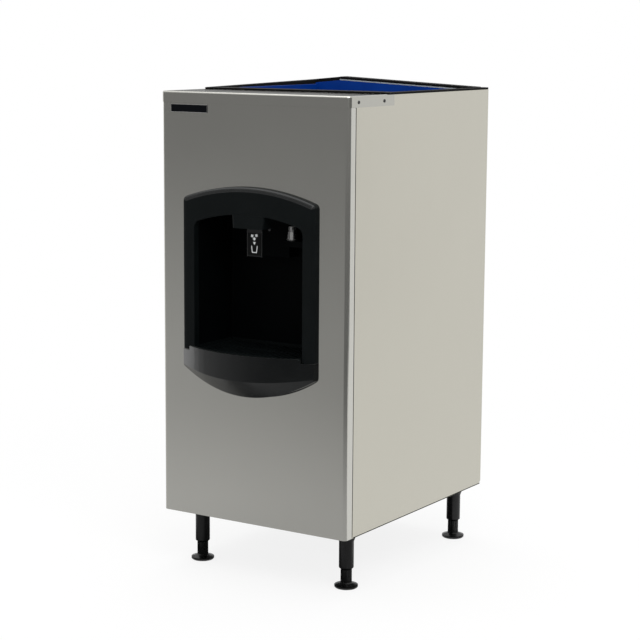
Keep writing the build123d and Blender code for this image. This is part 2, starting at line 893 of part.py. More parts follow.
def lever_bracket():
    y = back(lever_axis_y)
    z = up(lever_axis_z)
    ceiling = up(recess_ceiling)
    inner = lever_width / 2 + ear_gap
    ears = []
    for side in (-1, 1):
        ends = sorted((side * inner, side * (inner + ear_thickness)))
        ear = block(ends[0], ends[1], y - ear_width / 2, y + ear_width / 2, z - ear_width / 2, ceiling)
        ears.append(ear - rod_x(ends[0] - overrun, ends[1] + overrun, y, z, lever_pin_radius))
    span = inner + ear_thickness
    rear = y + ear_width / 2 + switch_depth
    plate = block(-span, span, y - ear_width / 2, rear, ceiling - ear_thickness, ceiling)
    switch_low = z - switch_button_drop - switch_height / 2
    drop = block(-switch_width, switch_width, rear - ear_thickness, rear, switch_low, ceiling)
    bracket = plate + drop
    for ear in ears:
        bracket += ear
    return bracket


def lever_pin():
    end = lever_width / 2 + ear_gap + ear_thickness
    y = back(lever_axis_y)
    z = up(lever_axis_z)
    pin = rod_x(-end, end, y, z, lever_pin_radius)
    pin += rod_x(end, end + lever_pin_radius, y, z, 2 * lever_pin_radius)
    return pin


def push_lever():
    half = lever_width / 2
    y = back(lever_axis_y)
    z = up(lever_axis_z)
    y0 = back(lever_plate_y)
    y1 = y0 + lever_thickness
    low = up(lever_bottom_z)
    curl = lever_curl_radius
    plate = block(-half, half, y0, y1, low, z)
    plate += block(-half, half, y0, y, z - lever_thickness, z)
    plate += rod_x(-half, half, y, z, lever_barrel_radius)
    plate = plate - rod_x(-half - overrun, half + overrun, y, z, lever_pin_radius + running_gap)
    foot = block(-half, half, y0, y0 + curl + lever_thickness, low, low + lever_thickness)
    plate += foot
    reach = lever_barrel_radius + overrun
    plate -= block(-spring_space, spring_space, y1, y + reach, z - reach, z + reach)
    return plate


def lever_label():
    y0 = back(lever_plate_y) - label_thickness
    z0 = up(lever_bottom_z) + label_border
    plate = block(-label_width / 2, label_width / 2, y0, y0 + label_thickness, z0, z0 + label_height)
    return fillet(plate.edges().filter_by(Axis.Y), label_border)


def lever_spring():
    y = back(lever_axis_y)
    z = up(lever_axis_z)
    coil_radius = lever_pin_radius + running_gap + spring_wire
    half_pitch = spring_pitch / 2
    start_x = -spring_pitch * spring_turns / 2
    end_x = spring_pitch * spring_turns / 2
    edges = [Line((start_x, y - coil_radius, z - spring_leg), (start_x, y - coil_radius, z))]
    for index in range(2 * spring_turns):
        x0 = start_x + index * half_pitch
        x1 = x0 + half_pitch
        side = -1 if index % 2 == 0 else 1
        first = (x0, y + side * coil_radius, z)
        middle = ((x0 + x1) / 2, y, z - side * coil_radius)
        last = (x1, y - side * coil_radius, z)
        edges.append(ThreePointArc(first, middle, last))
    edges.append(Line((end_x, y - coil_radius, z), (end_x, y - coil_radius, z + spring_leg)))
    path = Wire(edges)
    start = edges[0]
    section = Plane(origin=start @ 0, z_dir=start % 0) * Circle(spring_wire / 2)
    print("spring: least gap between turns", round(spring_pitch - spring_wire, 2))
    return sweep(section, path=path)


def switch_button_y():
    return back(lever_plate_y) + lever_thickness + fit_gap


def switch_body():
    z = up(lever_axis_z) - switch_button_drop
    y0 = switch_button_y() + switch_button_out
    rear = back(lever_axis_y) + ear_width / 2 + switch_depth - ear_thickness
    half_w = switch_width / 2
    half_h = switch_height / 2
    body = block(-half_w, half_w, y0, rear, z - half_h, z + half_h)
    body -= rod_y(0, y0 - overrun, y0 + switch_button_length, z, switch_button_radius + slide_gap)
    return body


def switch_button():
    z = up(lever_axis_z) - switch_button_drop
    y0 = switch_button_y()
    return rod_y(0, y0, y0 + switch_button_length, z, switch_button_radius)


# Ice chute and gate

def chute_points(inset, mouth_extra):
    y_bulk = back(bin_front_y) + mouth_extra
    slope = (chute_sill_z - chute_mouth_z) / (chute_slope_start_y - chute_slope_end_y)
    lift = inset * math.sqrt(1 + slope * slope)
    mouth_z = up(chute_mouth_z) - mouth_extra
    slope_y = back(chute_slope_end_y) - (up(chute_mouth_z) - mouth_z + lift) / slope
    front = back(chute_front_y) + inset
    start = back(chute_slope_start_y)
    sill = up(chute_sill_z) + inset
    top = up(chute_top_z) - inset
    roof = up(throat_top_z) - inset
    return [(y_bulk, sill), (start, sill), (slope_y, mouth_z), (front, mouth_z), (front, top),
            (start - inset, top), (start - inset, roof), (y_bulk, roof)]


def ice_chute():
    chute = along_x(chute_points(0, 0), -chute_half_width, chute_half_width)
    inner = chute_half_width - chute_wall
    chute -= along_x(chute_points(chute_wall, overrun), -inner, inner)
    wide = chute_half_width + overrun
    chute -= rod_x(-wide, wide, back(gate_y), up(gate_axis_z), gate_shaft_radius + running_gap)
    x, z = chute_screw_place()
    y = back(chute_front_y)
    chute -= rod_y(x, y - overrun, y + chute_wall, z, screw_radius)
    return chute


def chute_screw_place():
    return -chute_screw_side, up(chute_top_z) - chute_screw_below_top


def chute_screw():
    x, z = chute_screw_place()
    y = back(chute_front_y)
    head = rod_y(x, y - screw_head_height, y, z, screw_head_radius)
    return head + rod_y(x, y, y + chute_wall, z, screw_radius)


def gate_flap():
    half = chute_half_width - chute_wall - gate_side_gap
    y = back(gate_y)
    z = up(gate_axis_z)
    reach = gate_shaft_radius + gate_thickness
    flap = block(-half, half, y - gate_thickness / 2, y + gate_thickness / 2, z - gate_height, z)
    flap += rod_x(-half, half, y, z, reach)
    flap -= rod_x(-half - overrun, half + overrun, y, z, gate_shaft_radius)
    return flap


def crank_point():
    angle = math.radians(crank_start_angle)
    y = back(gate_y) - crank_radius * math.cos(angle)
    z = up(gate_axis_z) - crank_radius * math.sin(angle)
    return y, z


def plunger_x():
    return -chute_half_width - 2 * slide_gap - plunger_radius


def crank_x():
    return plunger_x() - tongue_thickness / 2 - 2 * slide_gap - crank_thickness


def gate_shaft():
    y = back(gate_y)
    z = up(gate_axis_z)
    pin_y, pin_z = crank_point()
    x0 = crank_x()
    shaft = rod_x(x0, chute_half_width + chute_wall, y, z, gate_shaft_radius)
    arm = rod_x(x0, x0 + crank_thickness, y, z, crank_eye_radius)
    arm += rod_x(x0, x0 + crank_thickness, pin_y, pin_z, crank_bar_width / 2)
    bar = block(x0, x0 + crank_thickness, -crank_radius, 0, -crank_bar_width / 2, crank_bar_width / 2)
    arm += Pos(0, y, z) * Rot(crank_start_angle, 0, 0) * bar
    pin = rod_x(x0, plunger_x() + tongue_thickness / 2 + slide_gap, pin_y, pin_z, crank_pin_radius)
    return shaft + arm + pin


def plunger_place():
    pin_y, pin_z = crank_point()
    y = (pin_y + back(gate_y) - crank_radius) / 2
    return plunger_x(), y, pin_z


def solenoid_plunger():
    x, y, z = plunger_place()
    half_slot = crank_pin_radius + slot_play
    half_t = tongue_thickness / 2
    half_w = tongue_width / 2
    tongue = block(x - half_t, x + half_t, y - half_w, y + half_w, z - tongue_height / 2, z + tongue_height)
    swing = crank_radius * (1 - math.cos(math.radians(crank_start_angle)))
    slot_half = swing / 2 + half_slot
    tongue -= block(x - tongue_thickness, x + tongue_thickness, y - slot_half, y + slot_half, z - half_slot,
                    z + half_slot)
    low = z + tongue_height - tongue_thickness
    return tongue + rod_z(x, y, low, z + tongue_height + plunger_length, plunger_radius)


def solenoid_body():
    x, y, z = plunger_place()
    half = solenoid_width / 2
    z0 = up(solenoid_base_z)
    z1 = z0 + solenoid_height
    wall_y = back(foam_front_y) - sheet
    coil = rod_z(x, y, z0 + solenoid_frame, z1 - solenoid_frame, half - solenoid_frame)
    frame = block(x - half, x + half, y - half, wall_y, z0, z0 + solenoid_frame)
    frame += block(x - half, x + half, y - half, wall_y, z1 - solenoid_frame, z1)
    frame += block(x - half, x + half, wall_y - solenoid_frame, wall_y, z0, z1)
    body = frame + coil
    body -= rod_z(x, y, z0 - overrun, z1 + overrun, plunger_radius + slide_gap)
    return body


# Recess lamp

def lamp_shelf():
    x0 = chute_half_width
    x1 = opening_half_width
    y0 = back(lamp_y) - shelf_depth / 2
    y1 = back(recess_depth)
    z0 = up(shelf_z)
    z1 = z0 + shelf_thickness
    shelf = block(x0, x1, y0, y1, z0, z1)
    wall = chute_wall
    shelf -= block(x0 + wall, x1 - wall, y0 + wall, y1 - wall, z0 - overrun, z1 - wall)
    ring = rod_z(lamp_x, back(lamp_y), z0, z1, shelf_hole_radius + wall)
    shelf += ring & block(x0, x1, y0, y1, z0, z1)
    shelf -= rod_z(lamp_x, back(lamp_y), z0 - overrun, z1 + overrun, shelf_hole_radius)
    return shelf


def lamp_shell():
    z0 = up(shelf_z) + shelf_thickness
    z1 = z0 + lamp_height
    neck = z1 - lamp_cap_height
    wall = lamp_wall
    waist = neck - lamp_cap_height
    outer = [(0, z0), (lamp_base_radius, z0), (lamp_base_radius, z0 + wall), (lamp_top_radius + wall, waist),
             (lamp_top_radius, neck), (lamp_top_radius, z1), (0, z1)]
    base = lamp_base_radius - wall
    inner = [(0, z0 - overrun), (base, z0 - overrun), (base, z0 + wall), (lamp_top_radius, waist),
             (lamp_top_radius - wall, neck), (lamp_top_radius - wall, z1 - wall), (0, z1 - wall)]
    x = lamp_x
    y = back(lamp_y)
    shell = spun(outer, x, y) - spun(inner, x, y)
    cutters = []
    for index in range(lamp_vents):
        half = lamp_vent_width / 2
        vent = block(lamp_top_radius - 2 * wall, lamp_top_radius + 2 * wall, -half, half, neck + 2 * wall,
                     z1 + wall)
        cutters.append(Pos(x, y, 0) * Rot(0, 0, 360 * index / lamp_vents) * vent)
    return shell - cutters


def lamp_bulb():
    x = lamp_x
    y = back(lamp_y)
    z1 = up(shelf_z) + shelf_thickness + lamp_height - lamp_wall
    neck = z1 - 2 * lamp_cap_height
    ball = Pos(x, y, neck - bulb_neck_radius) * Sphere(bulb_radius)
    return ball + rod_z(x, y, neck - bulb_neck_radius, z1, bulb_neck_radius)


# Drive

def drive_shaft():
    y0 = back(foam_front_y) - sheet - gearbox_depth + gearbox_wall
    return rod_y(0, y0, shaft_end, wheel_z, shaft_radius)


def shaft_bearing():
    y0 = back(foam_front_y) - sheet
    y1 = back(bin_front_y)
    bush = rod_y(0, y0, y1, wheel_z, bearing_radius)
    return bush - rod_y(0, y0 - overrun, y1 + overrun, wheel_z, shaft_radius + running_gap)


def shaft_seal():
    y0 = back(bin_front_y)
    y1 = y0 + seal_thickness
    ring = rod_y(0, y0, y1, wheel_z, seal_radius)
    return ring - rod_y(0, y0 - overrun, y1 + overrun, wheel_z, shaft_radius + running_gap)


def paddle_wheel():
    wheel = rod_y(0, wheel_front, wheel_rear, wheel_z, wheel_hub_radius)
    ring = rod_y(0, wheel_front, wheel_rear, wheel_z, wheel_ring_radius)
    ring_bore = wheel_ring_radius - wheel_ring_wall
    wheel += ring - rod_y(0, wheel_front - overrun, wheel_rear + overrun, wheel_z, ring_bore)
    half_t = paddle_thickness / 2
    for index in range(paddle_count):
        paddle = block(0, wheel_radius, wheel_front, wheel_rear, -half_t, half_t)
        wheel += Pos(0, 0, wheel_z) * Rot(0, 360 * index / paddle_count, 0) * paddle
    wheel -= rod_y(0, wheel_front - overrun, wheel_rear + overrun, wheel_z, shaft_radius)
    return wheel


def shaft_collar():
    y0 = wheel_rear
    collar = rod_y(0, y0, y0 + collar_width, wheel_z, collar_radius)
    return collar - rod_y(0, y0 - overrun, y0 + collar_width + overrun, wheel_z, shaft_radius)


def agitator():
    y1 = shaft_end
    y0 = y1 - agitator_hub_width
    y_mid = (y0 + y1) / 2
    body = rod_y(0, y0, y1, wheel_z, agitator_hub_radius)
    bend = agitator_bend
    for index in range(agitator_arms):
        arm = rod_z(0, y_mid, shaft_radius + running_gap, agitator_reach, agitator_arm_radius)
        finger = rod_y(0, y_mid - bend, y_mid + bend, agitator_reach, agitator_rod_radius)
        body += Pos(0, 0, wheel_z) * Rot(0, 360 * index / agitator_arms, 0) * (arm + finger)
    return body - rod_y(0, y0 - overrun, y1 + overrun, wheel_z, shaft_radius)


def motor_bolt_places():
    x = gearbox_width / 2 - motor_bolt_inset
    z = gearbox_height / 2 - motor_bolt_inset
    return [(sx * x, wheel_z + sz * z) for sx in (-1, 1) for sz in (-1, 1)]


def gearbox():
    y1 = back(foam_front_y) - sheet
    y0 = y1 - gearbox_depth
    half_w = gearbox_width / 2
    half_h = gearbox_height / 2
    case = block(-half_w, half_w, y0, y1, wheel_z - half_h, wheel_z + half_h)
    case = fillet(case.edges().filter_by(Axis.Y), gearbox_edge_radius)
    case -= rod_y(0, y0 + gearbox_wall - slide_gap, y1 + overrun, wheel_z, shaft_radius + running_gap)
    for x, z in motor_bolt_places():
        case -= rod_y(x, y0 - overrun, y1 + overrun, z, motor_bolt_radius)
    return case


def motor_can():
    y = back(foam_front_y) - sheet - gearbox_depth / 2
    x0 = gearbox_width / 2
    x1 = x0 + motor_length
    z = wheel_z - motor_offset_z
    can = rod_x(x0, x1, y, z, motor_radius - motor_rib_depth)
    pitch = motor_length / (motor_rib_count + 1)
    half_rib = pitch * motor_rib_width_share / 2
    for index in range(motor_rib_count):
        x = x0 + pitch * (index + 1)
        can += rod_x(x - half_rib, x + half_rib, y, z, motor_radius)
    can += rod_x(x0, x0 + 2 * half_rib, y, z, motor_radius)
    return can


def motor_bolts():
    y1 = back(foam_front_y)
    y0 = y1 - sheet - gearbox_depth
    bolts = []
    for x, z in motor_bolt_places():
        head = rod_y(x, y0 - bolt_head_height, y0, z, bolt_head_radius)
        bolts.append(head + rod_y(x, y0, y1, z, motor_bolt_radius))
    return group(bolts)


# Electrical

def box_places():
    x0 = inner_half - box_side_gap - box_width
    y1 = back(foam_front_y) - sheet
    low = up(recess_ceiling) + recess_wall
    room = rim_z - cover_drop - low
    z0 = low + room * box_rise_share - box_height / 2
    return x0, x0 + box_width, y1 - box_depth, y1, z0, z0 + box_height


def control_box():
    x0, x1, y0, y1, z0, z1 = box_places()
    box = block(x0, x1, y0, y1, z0, z1)
    wall = box_sheet
    return box - block(x0 + wall, x1 - wall, y0 - overrun, y1 - wall, z0 + wall, z1 - wall)


def control_lid():
    x0, x1, y0, y1, z0, z1 = box_places()
    wall = box_sheet
    lid = block(x0 - wall, x1 + wall, y0 - wall, y0 + lid_lap, z0 - wall, z1 + wall)
    return lid - block(x0, x1, y0, y1, z0, z1)


def transformer():
    x0, x1, y0, y1, z0, z1 = box_places()
    x = (x0 + x1) / 2
    rear = y1 - box_sheet
    base = z0 + box_sheet
    half = coil_width / 2
    core_front = rear - coil_depth
    core_half = half + core_overhang
    core = block(x - core_half, x + core_half, core_front, rear, base, base + coil_height)
    wound = block(x - half, x + half, core_front - core_overhang, core_front, base + core_overhang,
                  base + coil_height - core_overhang)
    wound = fillet(wound.edges().filter_by(Axis.Z).group_by(Axis.Y)[0], core_overhang / 2)
    return core + wound


def rocker_housing():
    z = up(rocker_z)
    half_w = rocker_width / 2
    half_h = rocker_height / 2
    wide = half_w + rocker_flange
    high = half_h + rocker_flange
    y0 = rear_y - rocker_body_depth
    plate = block(rocker_x - wide, rocker_x + wide, rear_y, rear_y + rocker_flange_thickness, z - high,
                  z + high)
    body = block(rocker_x - half_w, rocker_x + half_w, y0, rear_y, z - half_h, z + half_h)
    bore_w = half_w - rocker_wall
    bore_h = half_h - rocker_wall
    pocket = block(rocker_x - bore_w, rocker_x + bore_w, y0 + rocker_wall, rear_y + overrun, z - bore_h,
                   z + bore_h)
    return plate + body - pocket


def rocker():
    z = up(rocker_z)
    half_w = rocker_width / 2 - rocker_wall - slide_gap
    half_h = rocker_height / 2 - rocker_wall - slide_gap
    y = rear_y - rocker_axis_depth
    face_y = rear_y + rocker_flange_thickness + rocker_stand
    tilt = half_h * math.tan(math.radians(rocker_swing / 2))
    inner_y = y - rocker_body_rear
    keep = [(inner_y, z - half_h), (face_y, z - half_h), (face_y - tilt, z), (face_y, z + half_h),
            (inner_y, z + half_h)]
    cap = along_x(keep, rocker_x - half_w, rocker_x + half_w)
    cap &= rod_x(rocker_x - half_w, rocker_x + half_w, y, z, half_h)
    return cap.rotate(Axis((rocker_x, y, z), (1, 0, 0)), rocker_swing / 2)


def inlet_gland():
    z = up(gland_z)
    y0 = rear_y - sheet - gland_nut
    body = rod_y(gland_x, y0, rear_y + gland_reach, z, gland_radius)
    body += rod_y(gland_x, rear_y, rear_y + gland_nut, z, gland_flange_radius)
    body += rod_y(gland_x, y0, rear_y - sheet, z, gland_flange_radius)
    return body - rod_y(gland_x, y0 - overrun, rear_y + gland_reach + overrun, z, gland_bore_radius)


# Drain

def bin_drain():
    top = wheel_z - math.sqrt(trough_radius ** 2 - (abs(drain_x) + drain_fitting_radius) ** 2)
    low = wheel_z - trough_radius
    z0 = foam_low_z - drain_spigot
    body = rod_z(drain_x, drain_y, z0, low + liner_wall, drain_fitting_radius)
    body -= rod_z(drain_x, drain_y, z0 - overrun, top + overrun, drain_pipe_radius - drain_pipe_wall)
    return body


def drain_pipe():
    z = up(drain_pipe_z)
    r = drain_pipe_radius
    bore = r - drain_pipe_wall
    y0 = back(basin_drain_y) - drain_socket_radius
    y1 = rear_y + drain_reach
    top = foam_low_z - drain_spigot
    branch_z = up(drain_branch_z)
    body = rod_y(drain_x, y0, y1, z, r) + rod_z(drain_x, drain_y, z, top, r)
    body += rod_z(drain_x, drain_y, top - drain_spigot / 2, top + drain_spigot / 2,
                  drain_fitting_radius + drain_pipe_wall)
    body += rod_z(drain_x, drain_y, z - drain_socket_radius, branch_z, drain_socket_radius)
    body += rod_z(drain_x, back(basin_drain_y), z, branch_z, r)
    body += rod_y(drain_x, rear_y, rear_y + drain_collar, z, drain_collar_radius)
    body -= rod_y(drain_x, y0 + drain_pipe_wall, y1 + overrun, z, bore)
    body -= rod_z(drain_x, drain_y, z, top + drain_spigot, bore)
    body -= rod_z(drain_x, drain_y, top, top + drain_spigot, drain_fitting_radius + fit_gap)
    body -= rod_z(drain_x, back(basin_drain_y), z, branch_z + overrun, bore)
    return body


def basin_drain():
    y = back(basin_drain_y)
    r = basin_drain_radius
    floor = up(tub_floor_z) - tub_wall
    low = up(drain_branch_z)
    mid = low + (floor - low) * basin_drain_low_share
    high = mid + (floor - low) * basin_drain_cross_share
    route = [Vector(0, y, floor), Vector(0, y, high), Vector(drain_x, y, mid),
             Vector(drain_x, y, low)]
    path = FilletPolyline(*route, radius=basin_drain_bend)
    section = Plane(origin=route[0], z_dir=(0, 0, -1)) * (Circle(r) - Circle(r - basin_drain_wall))
    return sweep(section, path=path)


# Legs

def leg_body(x, y):
    top = base_z + stud_length
    points = [(0, leg_bottom_z), (leg_radius - leg_edge, leg_bottom_z), (leg_radius, leg_bottom_z + leg_edge),
              (leg_radius, base_z - leg_flare_height), (leg_flare_radius, base_z - leg_edge),
              (leg_flare_radius, base_z), (stud_radius, base_z), (stud_radius, top), (0, top)]
    leg = spun(points, x, y)
    bore_top = leg_bottom_z + foot_stem_length + foot_bore_extra
    leg -= rod_z(x, y, leg_bottom_z - overrun, bore_top, foot_stem_radius + running_gap)
    return leg


def leg_bodies():
    return group([leg_body(x, y) for x, y in leg_places().values()])


def leg_nuts():
    nuts = []
    z0 = base_z + sheet + pan_sheet
    z1 = z0 + nut_height
    for x, y in leg_places().values():
        nut = extrude(Pos(x, y, z0) * RegularPolygon(nut_radius, nut_sides), amount=nut_height, dir=(0, 0, 1))
        nuts.append(nut - rod_z(x, y, z0 - overrun, z1 + overrun, stud_radius + running_gap))
    return group(nuts)


def levelling_foot(x, y):
    neck_top = leg_bottom_z - slide_gap
    top = neck_top + foot_stem_length
    neck = foot_neck_radius
    points = [(0, 0), (foot_radius - leg_edge, 0), (foot_radius, leg_edge), (foot_radius, foot_edge_height),
              (neck + leg_edge, foot_disc_height), (neck, foot_disc_height + leg_edge),
              (neck, neck_top - leg_edge), (neck - leg_edge, neck_top), (foot_stem_radius, neck_top),
              (foot_stem_radius, top), (0, top)]
    foot = spun(points, x, y)
    cutters = []
    for index in range(flute_count):
        angle = 2 * math.pi * index / flute_count
        flute_x = x + neck * math.cos(angle)
        flute_y = y + neck * math.sin(angle)
        cutters.append(rod_z(flute_x, flute_y, neck_top - flute_length, neck_top + overrun, flute_radius))
    return foot - cutters


# Screws

def panel_screws():
    screws = []
    z = rim_z - cover_screw_drop
    face = half_width + sheet
    for y in cover_screw_ys:
        head = rod_x(face, face + screw_head_height, back(y), z, screw_head_radius)
        shank = rod_x(face - screw_length, face, back(y), z, screw_radius)
        screws.append(head + shank)
        screws.append(mirrored(head + shank))
    for x, z in back_screw_places():
        head = rod_y(x, rear_y, rear_y + screw_head_height, z, screw_head_radius)
        screws.append(head + rod_y(x, rear_y - sheet, rear_y, z, screw_radius))
    return group(screws)


nodes = {
    "side_panel_right": side_panel_right(),
    "side_panel_left": mirrored(side_panel_right()),
    "back_panel": back_panel(),
    "base_pan": base_pan(),
    "front_panel": front_panel(),
    "top_cover": top_cover(),
    "badge_plate": badge_plate(),
    "insulation": insulation(),
    "bin_liner": bin_liner(),
    "bulkhead": bulkhead(),
    "bin_supports": bin_supports(),
    "rear_rim_rail": rear_rim_rail(),
    "rim_gasket": rim_gasket(),
    "bezel": bezel(),
    "chute_hood": chute_hood(),
    "recess_liner": recess_liner(),
    "basin_front": basin_front(),
    "drip_basin": drip_basin(),
    "drip_grille": drip_grille(),
    "lever_bracket": lever_bracket(),
    "lever_pin": lever_pin(),
    "push_lever": push_lever(),
    "lever_label": lever_label(),
    "lever_spring": lever_spring(),
    "switch_body": switch_body(),
    "switch_button": switch_button(),
    "ice_chute": ice_chute(),
    "chute_screw": chute_screw(),
    "gate_flap": gate_flap(),
    "gate_shaft": gate_shaft(),
    "solenoid_body": solenoid_body(),
    "solenoid_plunger": solenoid_plunger(),
    "lamp_shelf": lamp_shelf(),
    "lamp_shell": lamp_shell(),
    "lamp_bulb": lamp_bulb(),
    "drive_shaft": drive_shaft(),
    "shaft_bearing": shaft_bearing(),
    "shaft_seal": shaft_seal(),
    "paddle_wheel": paddle_wheel(),
    "shaft_collar": shaft_collar(),
    "agitator": agitator(),
    "gearbox": gearbox(),
    "motor_can": motor_can(),
    "motor_bolts": motor_bolts(),
    "control_box": control_box(),
    "control_lid": control_lid(),
    "transformer": transformer(),
    "rocker_housing": rocker_housing(),
    "rocker": rocker(),
    "inlet_gland": inlet_gland(),
    "bin_drain": bin_drain(),
    "drain_pipe": drain_pipe(),
    "basin_drain": basin_drain(),
    "leg_bodies": leg_bodies(),
    "leg_nuts": leg_nuts(),
    "panel_screws": panel_screws(),
}
for place, (foot_x, foot_y) in leg_places().items():
    nodes["foot_" + place] = levelling_foot(foot_x, foot_y)

os.makedirs("parts", exist_ok=True)
for name, piece in nodes.items():
    export_step(piece, "parts/" + name + ".step")
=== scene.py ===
import bpy
import json
import math
from mathutils import Matrix, Vector


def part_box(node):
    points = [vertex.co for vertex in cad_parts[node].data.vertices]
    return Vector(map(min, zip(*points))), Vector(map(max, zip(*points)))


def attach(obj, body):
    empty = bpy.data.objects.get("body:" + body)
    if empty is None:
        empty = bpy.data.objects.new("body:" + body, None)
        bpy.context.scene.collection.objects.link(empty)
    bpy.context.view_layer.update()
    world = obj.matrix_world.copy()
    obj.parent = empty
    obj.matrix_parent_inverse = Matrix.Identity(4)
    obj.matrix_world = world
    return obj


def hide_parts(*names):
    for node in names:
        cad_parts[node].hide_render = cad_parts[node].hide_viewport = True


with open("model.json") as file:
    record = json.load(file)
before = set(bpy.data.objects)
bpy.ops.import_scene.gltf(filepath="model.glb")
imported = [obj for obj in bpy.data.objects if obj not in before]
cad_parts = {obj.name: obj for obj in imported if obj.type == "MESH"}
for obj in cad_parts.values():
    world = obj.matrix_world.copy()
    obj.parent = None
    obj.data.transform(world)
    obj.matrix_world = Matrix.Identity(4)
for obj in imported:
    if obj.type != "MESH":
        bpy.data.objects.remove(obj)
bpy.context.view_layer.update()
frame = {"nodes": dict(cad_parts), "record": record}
nodes = frame["nodes"]
print("frame loaded:", len(nodes), "nodes")


# helpers

mergeLook = {
    "sameCorner": 0.000005,  # metres
    "nodeCorner": 0.00001,
    "flatAngle": 0.4,  # degrees
}


def clearSelection():
    if bpy.context.mode != "OBJECT":
        bpy.ops.object.mode_set(mode="OBJECT")
    bpy.ops.object.select_all(action="DESELECT")


def pickOnly(piece):
    clearSelection()
    piece.select_set(True)
    bpy.context.view_layer.objects.active = piece


def settle(piece):
    # place, turn and size go into the mesh, the object itself ends at the origin
    pickOnly(piece)
    bpy.ops.object.transform_apply(location=True, rotation=True, scale=True)
    return piece


def applyModifiers(piece):
    pickOnly(piece)
    for modifier in list(piece.modifiers):
        bpy.ops.object.modifier_apply(modifier=modifier.name)
    return piece


def joinPieces(pieces, name):
    clearSelection()
    for piece in pieces:
        piece.select_set(True)
    bpy.context.view_layer.objects.active = pieces[0]
    bpy.ops.object.join()
    joined = bpy.context.view_layer.objects.active
    joined.name = name
    return joined


flatWeight = 80


def roundEdges(piece, width, segments=2, angle=30):
    bevel = piece.modifiers.new("edge", "BEVEL")
    bevel.width = width
    bevel.segments = segments
    bevel.limit_method = "ANGLE"
    bevel.angle_limit = math.radians(angle)
    applyModifiers(piece)
    bpy.ops.object.shade_smooth_by_angle(angle=math.radians(angle))
    # large flat areas keep their own normals beside the small rounded edges
    flat = piece.modifiers.new("flat", "WEIGHTED_NORMAL")
    flat.mode = "FACE_AREA"
    flat.weight = flatWeight
    flat.keep_sharp = True
    applyModifiers(piece)
    return piece


def addBlock(low, high):
    clearSelection()
    bpy.ops.mesh.primitive_cube_add(size=1, location=[(a + b) / 2 for a, b in zip(low, high)])
    piece = bpy.context.view_layer.objects.active
    piece.scale = [b - a for a, b in zip(low, high)]
    return settle(piece)


def addDisc(middle, radius, depth, sides=32, turn=(0, 0, 0)):
    clearSelection()
    bpy.ops.mesh.primitive_cylinder_add(vertices=sides, radius=radius, depth=depth, location=middle, rotation=turn)
    return settle(bpy.context.view_layer.objects.active)


def pickFaces(piece, wanted):
    # leaves edit mode on, with the wanted faces selected
    pickOnly(piece)
    bpy.ops.object.mode_set(mode="EDIT")
    bpy.ops.mesh.select_mode(type="FACE")
    bpy.ops.mesh.select_all(action="DESELECT")
    bpy.ops.object.mode_set(mode="OBJECT")
    for face in piece.data.polygons:
        face.select = wanted(face)
    bpy.ops.object.mode_set(mode="EDIT")


def editAll(piece):
    # leaves edit mode on, with everything selected
    pickOnly(piece)
    bpy.ops.object.mode_set(mode="EDIT")
    bpy.ops.mesh.select_all(action="SELECT")


def leaveEdit():
    bpy.ops.object.mode_set(mode="OBJECT")


def outwards(piece):
    editAll(piece)
    bpy.ops.mesh.remove_doubles(threshold=mergeLook["sameCorner"])
    bpy.ops.mesh.normals_make_consistent(inside=False)
    leaveEdit()
    return piece


def cutAway(piece, cutter):
    cut = piece.modifiers.new("cut", "BOOLEAN")
    cut.operation = "DIFFERENCE"
    cut.solver = "EXACT"
    cut.object = cutter
    applyModifiers(piece)
    bpy.data.objects.remove(cutter, do_unlink=True)
    return piece


def copyPiece(piece, matrix):
    # its own mesh, moved to its place
    copy = piece.copy()
    copy.data = piece.data.copy()
    bpy.context.scene.collection.objects.link(copy)
    copy.matrix_world = matrix
    return settle(copy)


def ringTube(profile, middle, sides=48):
    # a circle extruded upwards, ring by ring: profile is (radius, height above the middle)
    clearSelection()
    bpy.ops.mesh.primitive_circle_add(vertices=sides, radius=profile[0][0], fill_type="NOTHING",
                                      location=(middle[0], middle[1], middle[2] + profile[0][1]))
    tube = settle(bpy.context.view_layer.objects.active)
    bpy.ops.object.mode_set(mode="EDIT")
    bpy.ops.mesh.select_mode(type="VERT")
    bpy.ops.mesh.select_all(action="SELECT")
    for before, after in zip(profile, profile[1:]):
        grow = after[0] / before[0]
        ringMiddle = (middle[0], middle[1], middle[2] + after[1])
        bpy.ops.mesh.extrude_region_move(TRANSFORM_OT_translate={"value": (0, 0, after[1] - before[1])})
        bpy.ops.transform.resize(value=(grow, grow, 1), center_override=ringMiddle)
    leaveEdit()
    return tube


def addWall(piece, thickness):
    # gives a shell its thickness, inwards
    wall = piece.modifiers.new("wall", "SOLIDIFY")
    wall.thickness = thickness
    wall.offset = -1
    return applyModifiers(piece)


def paint(piece, material):
    piece.data.materials.clear()
    piece.data.materials.append(material)
    return piece


def place(piece, body, slot, material, *stoodFor):
    settle(piece)
    paint(piece, material)
    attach(piece, body)
    if stoodFor:
        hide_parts(*stoodFor)
    return piece


# materials


def newMaterial(name):
    material = bpy.data.materials.new(name)
    material.use_nodes = True
    tree = material.node_tree
    shader = tree.nodes["Principled BSDF"]
    return material, tree, shader


def objectCoords(tree, scale=(1, 1, 1)):
    coords = tree.nodes.new("ShaderNodeTexCoord")
    mapping = tree.nodes.new("ShaderNodeMapping")
    mapping.inputs["Scale"].default_value = scale
    tree.links.new(coords.outputs["Object"], mapping.inputs["Vector"])
    return mapping.outputs["Vector"]


def noise(tree, vector, scale, detail=4.0, rough=0.55):
    texture = tree.nodes.new("ShaderNodeTexNoise")
    texture.inputs["Scale"].default_value = scale
    texture.inputs["Detail"].default_value = detail
    texture.inputs["Roughness"].default_value = rough
    tree.links.new(vector, texture.inputs["Vector"])
    return texture.outputs["Fac"]


